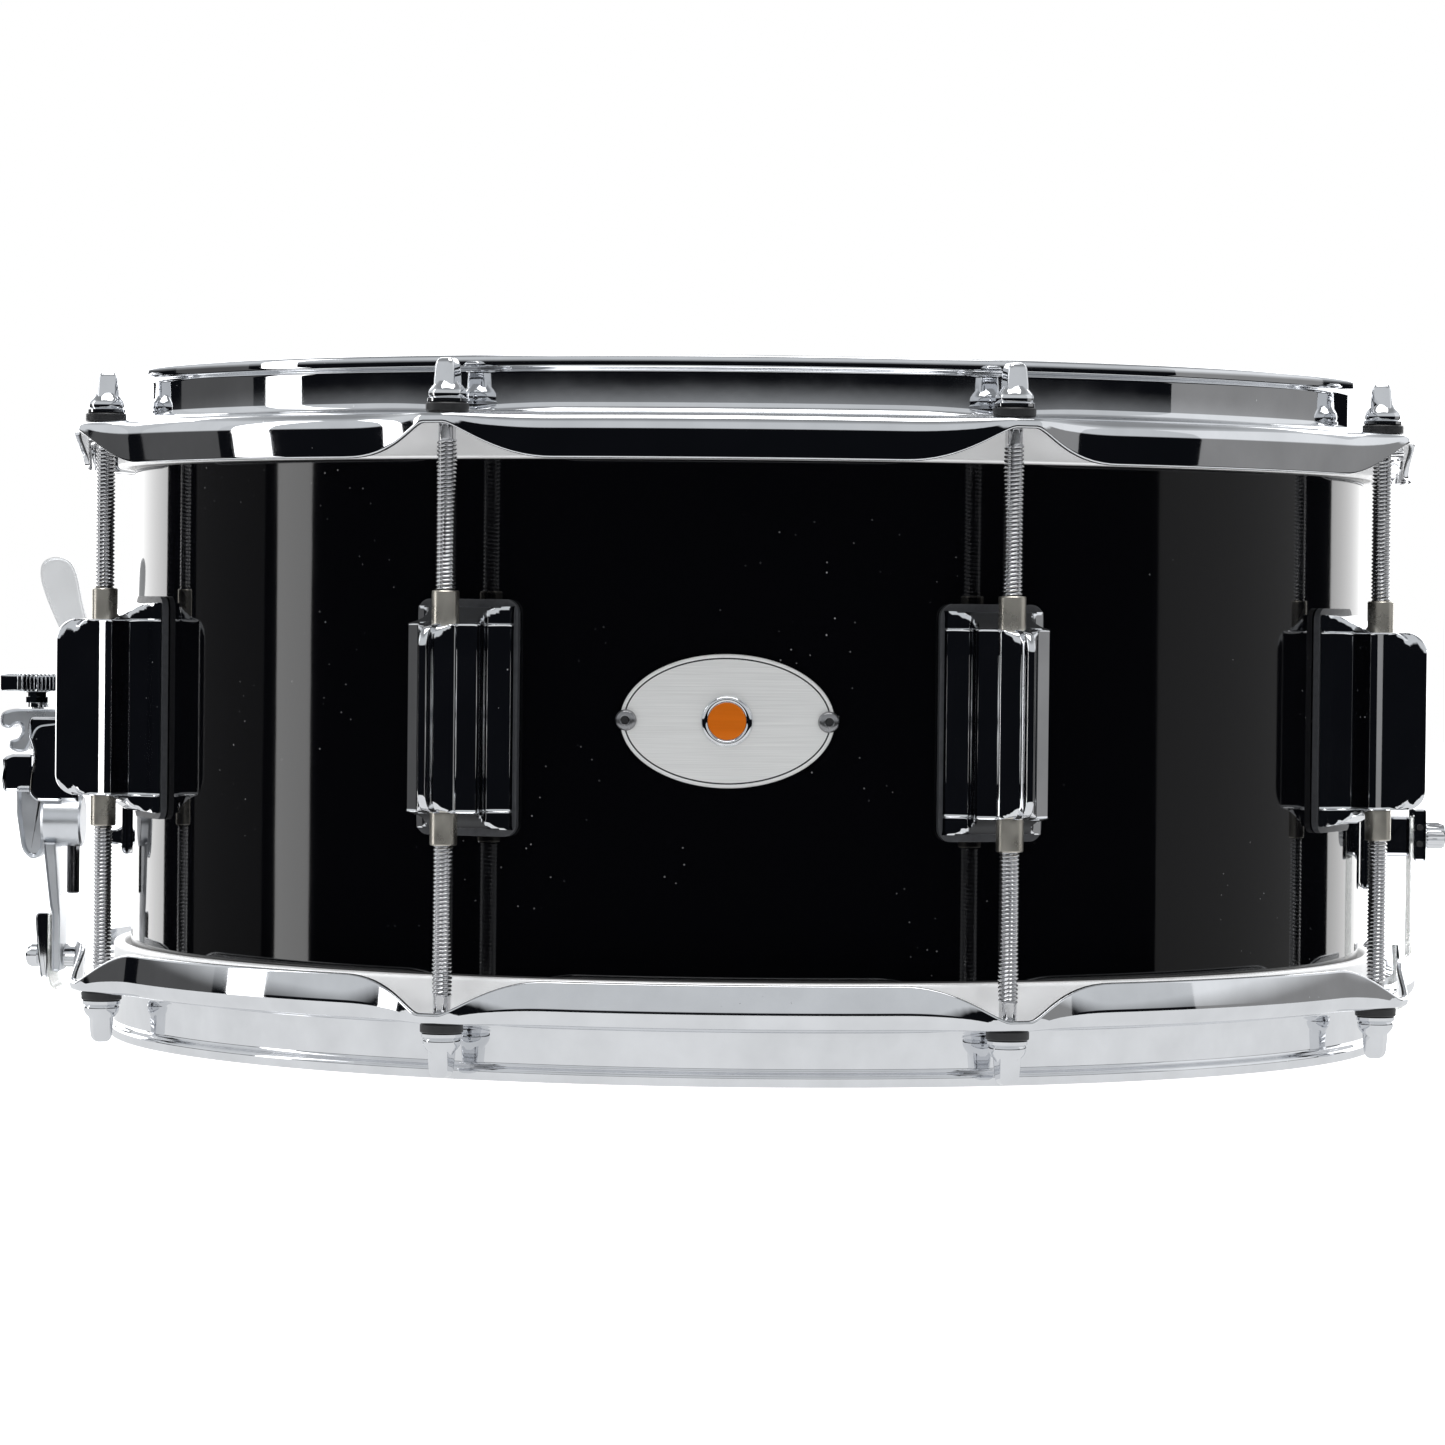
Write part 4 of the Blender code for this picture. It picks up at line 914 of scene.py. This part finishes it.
def make_straps():
    strainer = [(151, -85.05), (190, -85.05), (198.2, -84.45), (201.4, -83.05), (202.4, -80.25), (202.4, -62.0)]
    butt = [(151, -85.05), (188, -85.05), (191.4, -83.45), (192.9, -79.55), (192.9, -29.0)]
    strap_strip("strainer_strap_clear", strainer, LEFT, "carriage", "strainer_strap", [(0, STRAP_SCREW)])
    screws = [(side * BUTT_SCREW_ACROSS, BUTT_SCREW) for side in (-1, 1)]
    strap_strip("butt_strap_clear", butt, RIGHT, "drum", "butt_strap", screws)


def make_butt():
    arm = [(180.5, -41.6, 0.5), (184.0, -40.2, 1.5), (192.2, -40.2, 1.0), (192.2, -28.6, 1.0)]
    arm += [(184.0, -28.6, 1.5), (180.5, -27.0, 0.5)]
    back = box_points((178.3, 181.0), (-50.0, -20.0), 2.0)
    solids = [slab(back, (-8.0, 8.0), 0.7), slab(arm, (-8.5, 8.5), 0.9)]
    places = [outward_place(BUTT_SCREW * MM, side * BUTT_SCREW_ACROSS * MM) for side in (-1, 1)]
    bores = [(place, 1.95, (186, 200)) for place in places]
    mesh = bored("butt_casting", solids, [CHROME], bores)
    placed("butt_casting", mesh, RIGHT, "drum", ["butt_bracket"])
    solids = [slab(box_points((193.45, 196.9), (-41.6, -26.5), 0.8), (-8.5, 8.5), 0.6)]
    # painted shade: small dark discs on the jaw's sides stand for the shade in its dimples
    for height in (-31.8, -36.6):
        for side in (-8.5, 8.5):
            dimple_shade = bmesh.new()
            place = across_place(195.2, height) @ Matrix.Translation((0, 0, side * MM))
            spindle(dimple_shade, mm([(0.9, -0.35), (0.9, 0.15)]), 16, place, material=1)
            solids.append(dimple_shade)
    mesh = bored("butt_jaw_cast", solids, [CHROME, NYLON_AND_SHADE], bores)
    placed("butt_jaw_cast", mesh, RIGHT, "drum", ["butt_jaw"])
    for place, node in zip(places, ("butt_screw_front", "butt_screw_back")):
        bm = bmesh.new()
        spindle(bm, mm([(1.6, 185.5), (1.6, 197.4)]), 20, place, material=1)
        stations = [(3.3, 0.0, 197.2), (3.6, 0.3, 197.6), (3.6, 0.3, 201.6), (3.2, 0.1, 202.4), (2.4, 0.0, 202.8)]
        knurled(bm, stations, 18, place)
        smooth(bm, math.radians(24))
        piece(node + "_knurled", bm, [CHROME, ROD_STEEL], RIGHT, "drum", [node])


def make_wires():
    """Twenty sprung steel strands between two plates, each strand wound like a spring."""
    bm = bmesh.new()
    radius, centre, half, pitch = 0.7, -84.4, 149.0, 1.8
    rows = int(2 * half / pitch * 3)
    strands, apart = 20, 2.0
    for strand in range(strands):
        across = (strand - (strands - 1) / 2) * apart
        rings = []
        for row in range(rows + 1):
            x = -half + 2 * half * row / rows
            ring = []
            for n in range(8):
                share = (x / pitch - n / 8) % 1.0
                r = radius - 0.22 * (1 - abs(2 * share - 1))
                angle = 2 * math.pi * n / 8
                ring.append(Vector((x, across + r * math.cos(angle), centre + r * math.sin(angle))) * MM)
            rings.append(ring)
        join_rings(bm, rings)
    for end in (-1, 1):
        outline = rounded(mm(box_points((145, 158), (-20, 20), 1.5)))
        outline = [Vector((end * p.x, p.y)) for p in outline]
        low, high = -84.45 * MM, -83.65 * MM
        loops = [[Vector((p.x, p.y, z)) for p in outline] for z in (low, high)]
        join_rings(bm, loops, material=1)
    smooth(bm, math.radians(60))
    mesh = to_mesh("snare_strands", bm, [STEEL_WIRE, ROD_STEEL])
    placed("snare_strands", mesh, body="snares", replaces=["snare_wires"])


# ---------------------------------------------------------------- stage, lights and camera
def see_through_from_below(tree, shader):
    """Makes a level face clear from its underside, so that it doesn't hide the drum in a low view."""
    side = tree.nodes.new("ShaderNodeNewGeometry")
    clear = tree.nodes.new("ShaderNodeBsdfTransparent")
    mix = tree.nodes.new("ShaderNodeMixShader")
    tree.links.new(side.outputs["Backfacing"], mix.inputs["Fac"])
    tree.links.new(shader.outputs["BSDF"], mix.inputs[1])
    tree.links.new(clear.outputs["BSDF"], mix.inputs[2])
    tree.links.new(mix.outputs["Shader"], tree.nodes["Material Output"].inputs["Surface"])


def make_floor():
    """A white floor, and over it a dimmer table that only the drum's reflections see."""
    for name, radius, drop, own in (("floor", 4.0, 0.0008, 1.15), ("table", 0.42, 0.0002, 0.80)):
        material, tree, shader = shader_of(name + "_white")
        tone = noise(tree, object_coordinates(tree), 9.0)
        stops = [(0.3, 0.90), (0.7, 0.92)] if name == "floor" else [(0.3, 0.02), (0.7, 0.04)]
        tree.links.new(ramp(tree, tone, stops), shader.inputs["Base Color"])
        shader.inputs["Roughness"].default_value = 0.7
        shader.inputs["Specular IOR Level"].default_value = 0.0
        glow(shader, (0.97, 0.985, 1.0), own)
        see_through_from_below(tree, shader)
        bm = bmesh.new()
        bm.faces.new([bm.verts.new(point) for point in circle(radius, MIDDLE - RIM - drop, 96)])
        obj = bpy.data.objects.new(name, to_mesh(name, bm, [material]))
        bpy.context.scene.collection.objects.link(obj)
        obj.visible_glossy = name == "table"
        if name == "table":
            obj.visible_camera = obj.visible_diffuse = obj.visible_shadow = False


def area_light(name, location, size, power):
    """A rectangular light that faces the drum."""
    data = bpy.data.lights.new(name, "AREA")
    data.shape = "RECTANGLE"
    data.size, data.size_y = size
    data.energy = power
    light = bpy.data.objects.new(name, data)
    bpy.context.scene.collection.objects.link(light)
    light.location = location
    light.rotation_mode = "QUATERNION"
    light.rotation_quaternion = (Vector() - Vector(location)).to_track_quat("-Z", "Y")


def make_world():
    """White where the camera sees it. Other rays see a bright band, dark below it and dimmer overhead."""
    world = bpy.data.worlds.new("studio")
    bpy.context.scene.world = world
    world.use_nodes = True
    tree = world.node_tree
    tree.nodes.clear()
    output = tree.nodes.new("ShaderNodeOutputWorld")
    seen = tree.nodes.new("ShaderNodeBackground")
    seen.inputs["Color"].default_value = (1, 1, 1, 1)
    around = tree.nodes.new("ShaderNodeBackground")
    where = tree.nodes.new("ShaderNodeTexCoord")
    height = tree.nodes.new("ShaderNodeSeparateXYZ")
    tree.links.new(where.outputs["Generated"], height.inputs["Vector"])
    dark, bright = (0.004, 0.0045, 0.006), (0.62, 0.64, 0.66)
    stops = [(0.0, dark), (0.045, dark), (0.09, bright), (0.55, bright), (0.75, (0.30, 0.31, 0.32))]
    tree.links.new(ramp(tree, height.outputs["Z"], stops), around.inputs["Color"])
    path = tree.nodes.new("ShaderNodeLightPath")
    mix = tree.nodes.new("ShaderNodeMixShader")
    tree.links.new(path.outputs["Is Camera Ray"], mix.inputs["Fac"])
    tree.links.new(around.outputs["Background"], mix.inputs[1])
    tree.links.new(seen.outputs["Background"], mix.inputs[2])
    tree.links.new(mix.outputs["Shader"], output.inputs["Surface"])


def bearing(degrees, distance, height):
    """A point at this distance and height, this many degrees round from the front towards the strainer."""
    angle = math.radians(degrees)
    return Vector((-distance * math.sin(angle), -distance * math.cos(angle), height))


def make_lights():
    area_light("top_softbox", (0.0, -0.3, 1.5), (1.5, 1.0), 16)
    area_light("left_strip", bearing(85.5, 1.9, 0.25), (0.30, 1.9), 5.0)
    area_light("left_fill", bearing(105, 1.95, 0.25), (0.80, 1.9), 0.4)
    area_light("right_fill", bearing(-99, 1.95, 0.25), (1.50, 1.9), 2.4)
    area_light("back_left", bearing(154, 3.0, 0.5), (2.5, 3.0), 60)
    area_light("back_right", bearing(-157, 3.0, 0.5), (2.4, 3.0), 42)


def make_camera():
    """A camera in front of the drum, a little round towards the butt and just above its middle."""
    yaw, pitch, roll = math.radians(-1.856), math.radians(1.143), math.radians(0.605)
    distance, height, shift = 1.6091, 0.0282, -0.00697
    turn = Matrix.Rotation(yaw, 3, "Z")
    tip = Matrix(((1, 0, 0), (0, math.cos(pitch), -math.sin(pitch)), (0, math.sin(pitch), math.cos(pitch))))
    lean = Matrix(((math.cos(roll), 0, math.sin(roll)), (0, 1, 0), (-math.sin(roll), 0, math.cos(roll))))
    to_camera = lean @ tip @ turn
    back = to_camera.transposed()
    axes = Matrix((back @ Vector((1, 0, 0)), back @ Vector((0, 0, 1)), back @ Vector((0, -1, 0)))).transposed()
    data = bpy.data.cameras.new("camera")
    data.sensor_width = 36.0
    data.lens = 137.617
    data.clip_start, data.clip_end = 0.05, 50.0
    camera = bpy.data.objects.new("camera", data)
    bpy.context.scene.collection.objects.link(camera)
    place = turn.transposed() @ Vector((shift, -distance, height)) + Vector((0, 0, MIDDLE))
    camera.matrix_world = Matrix.Translation(place) @ axes.to_4x4()
    bpy.context.scene.camera = camera
    bpy.context.scene.view_settings.view_transform = "Standard"


make_shell()
make_badge()
make_pins_and_grommet()
make_heads()
make_hoops()
make_rods()
make_lugs()
make_strainer_body()
make_lever()
make_carriage()
make_knob()
make_clamp()
make_straps()
make_butt()
make_wires()
make_floor()
make_world()
make_lights()
make_camera()

bpy.context.view_layer.update()
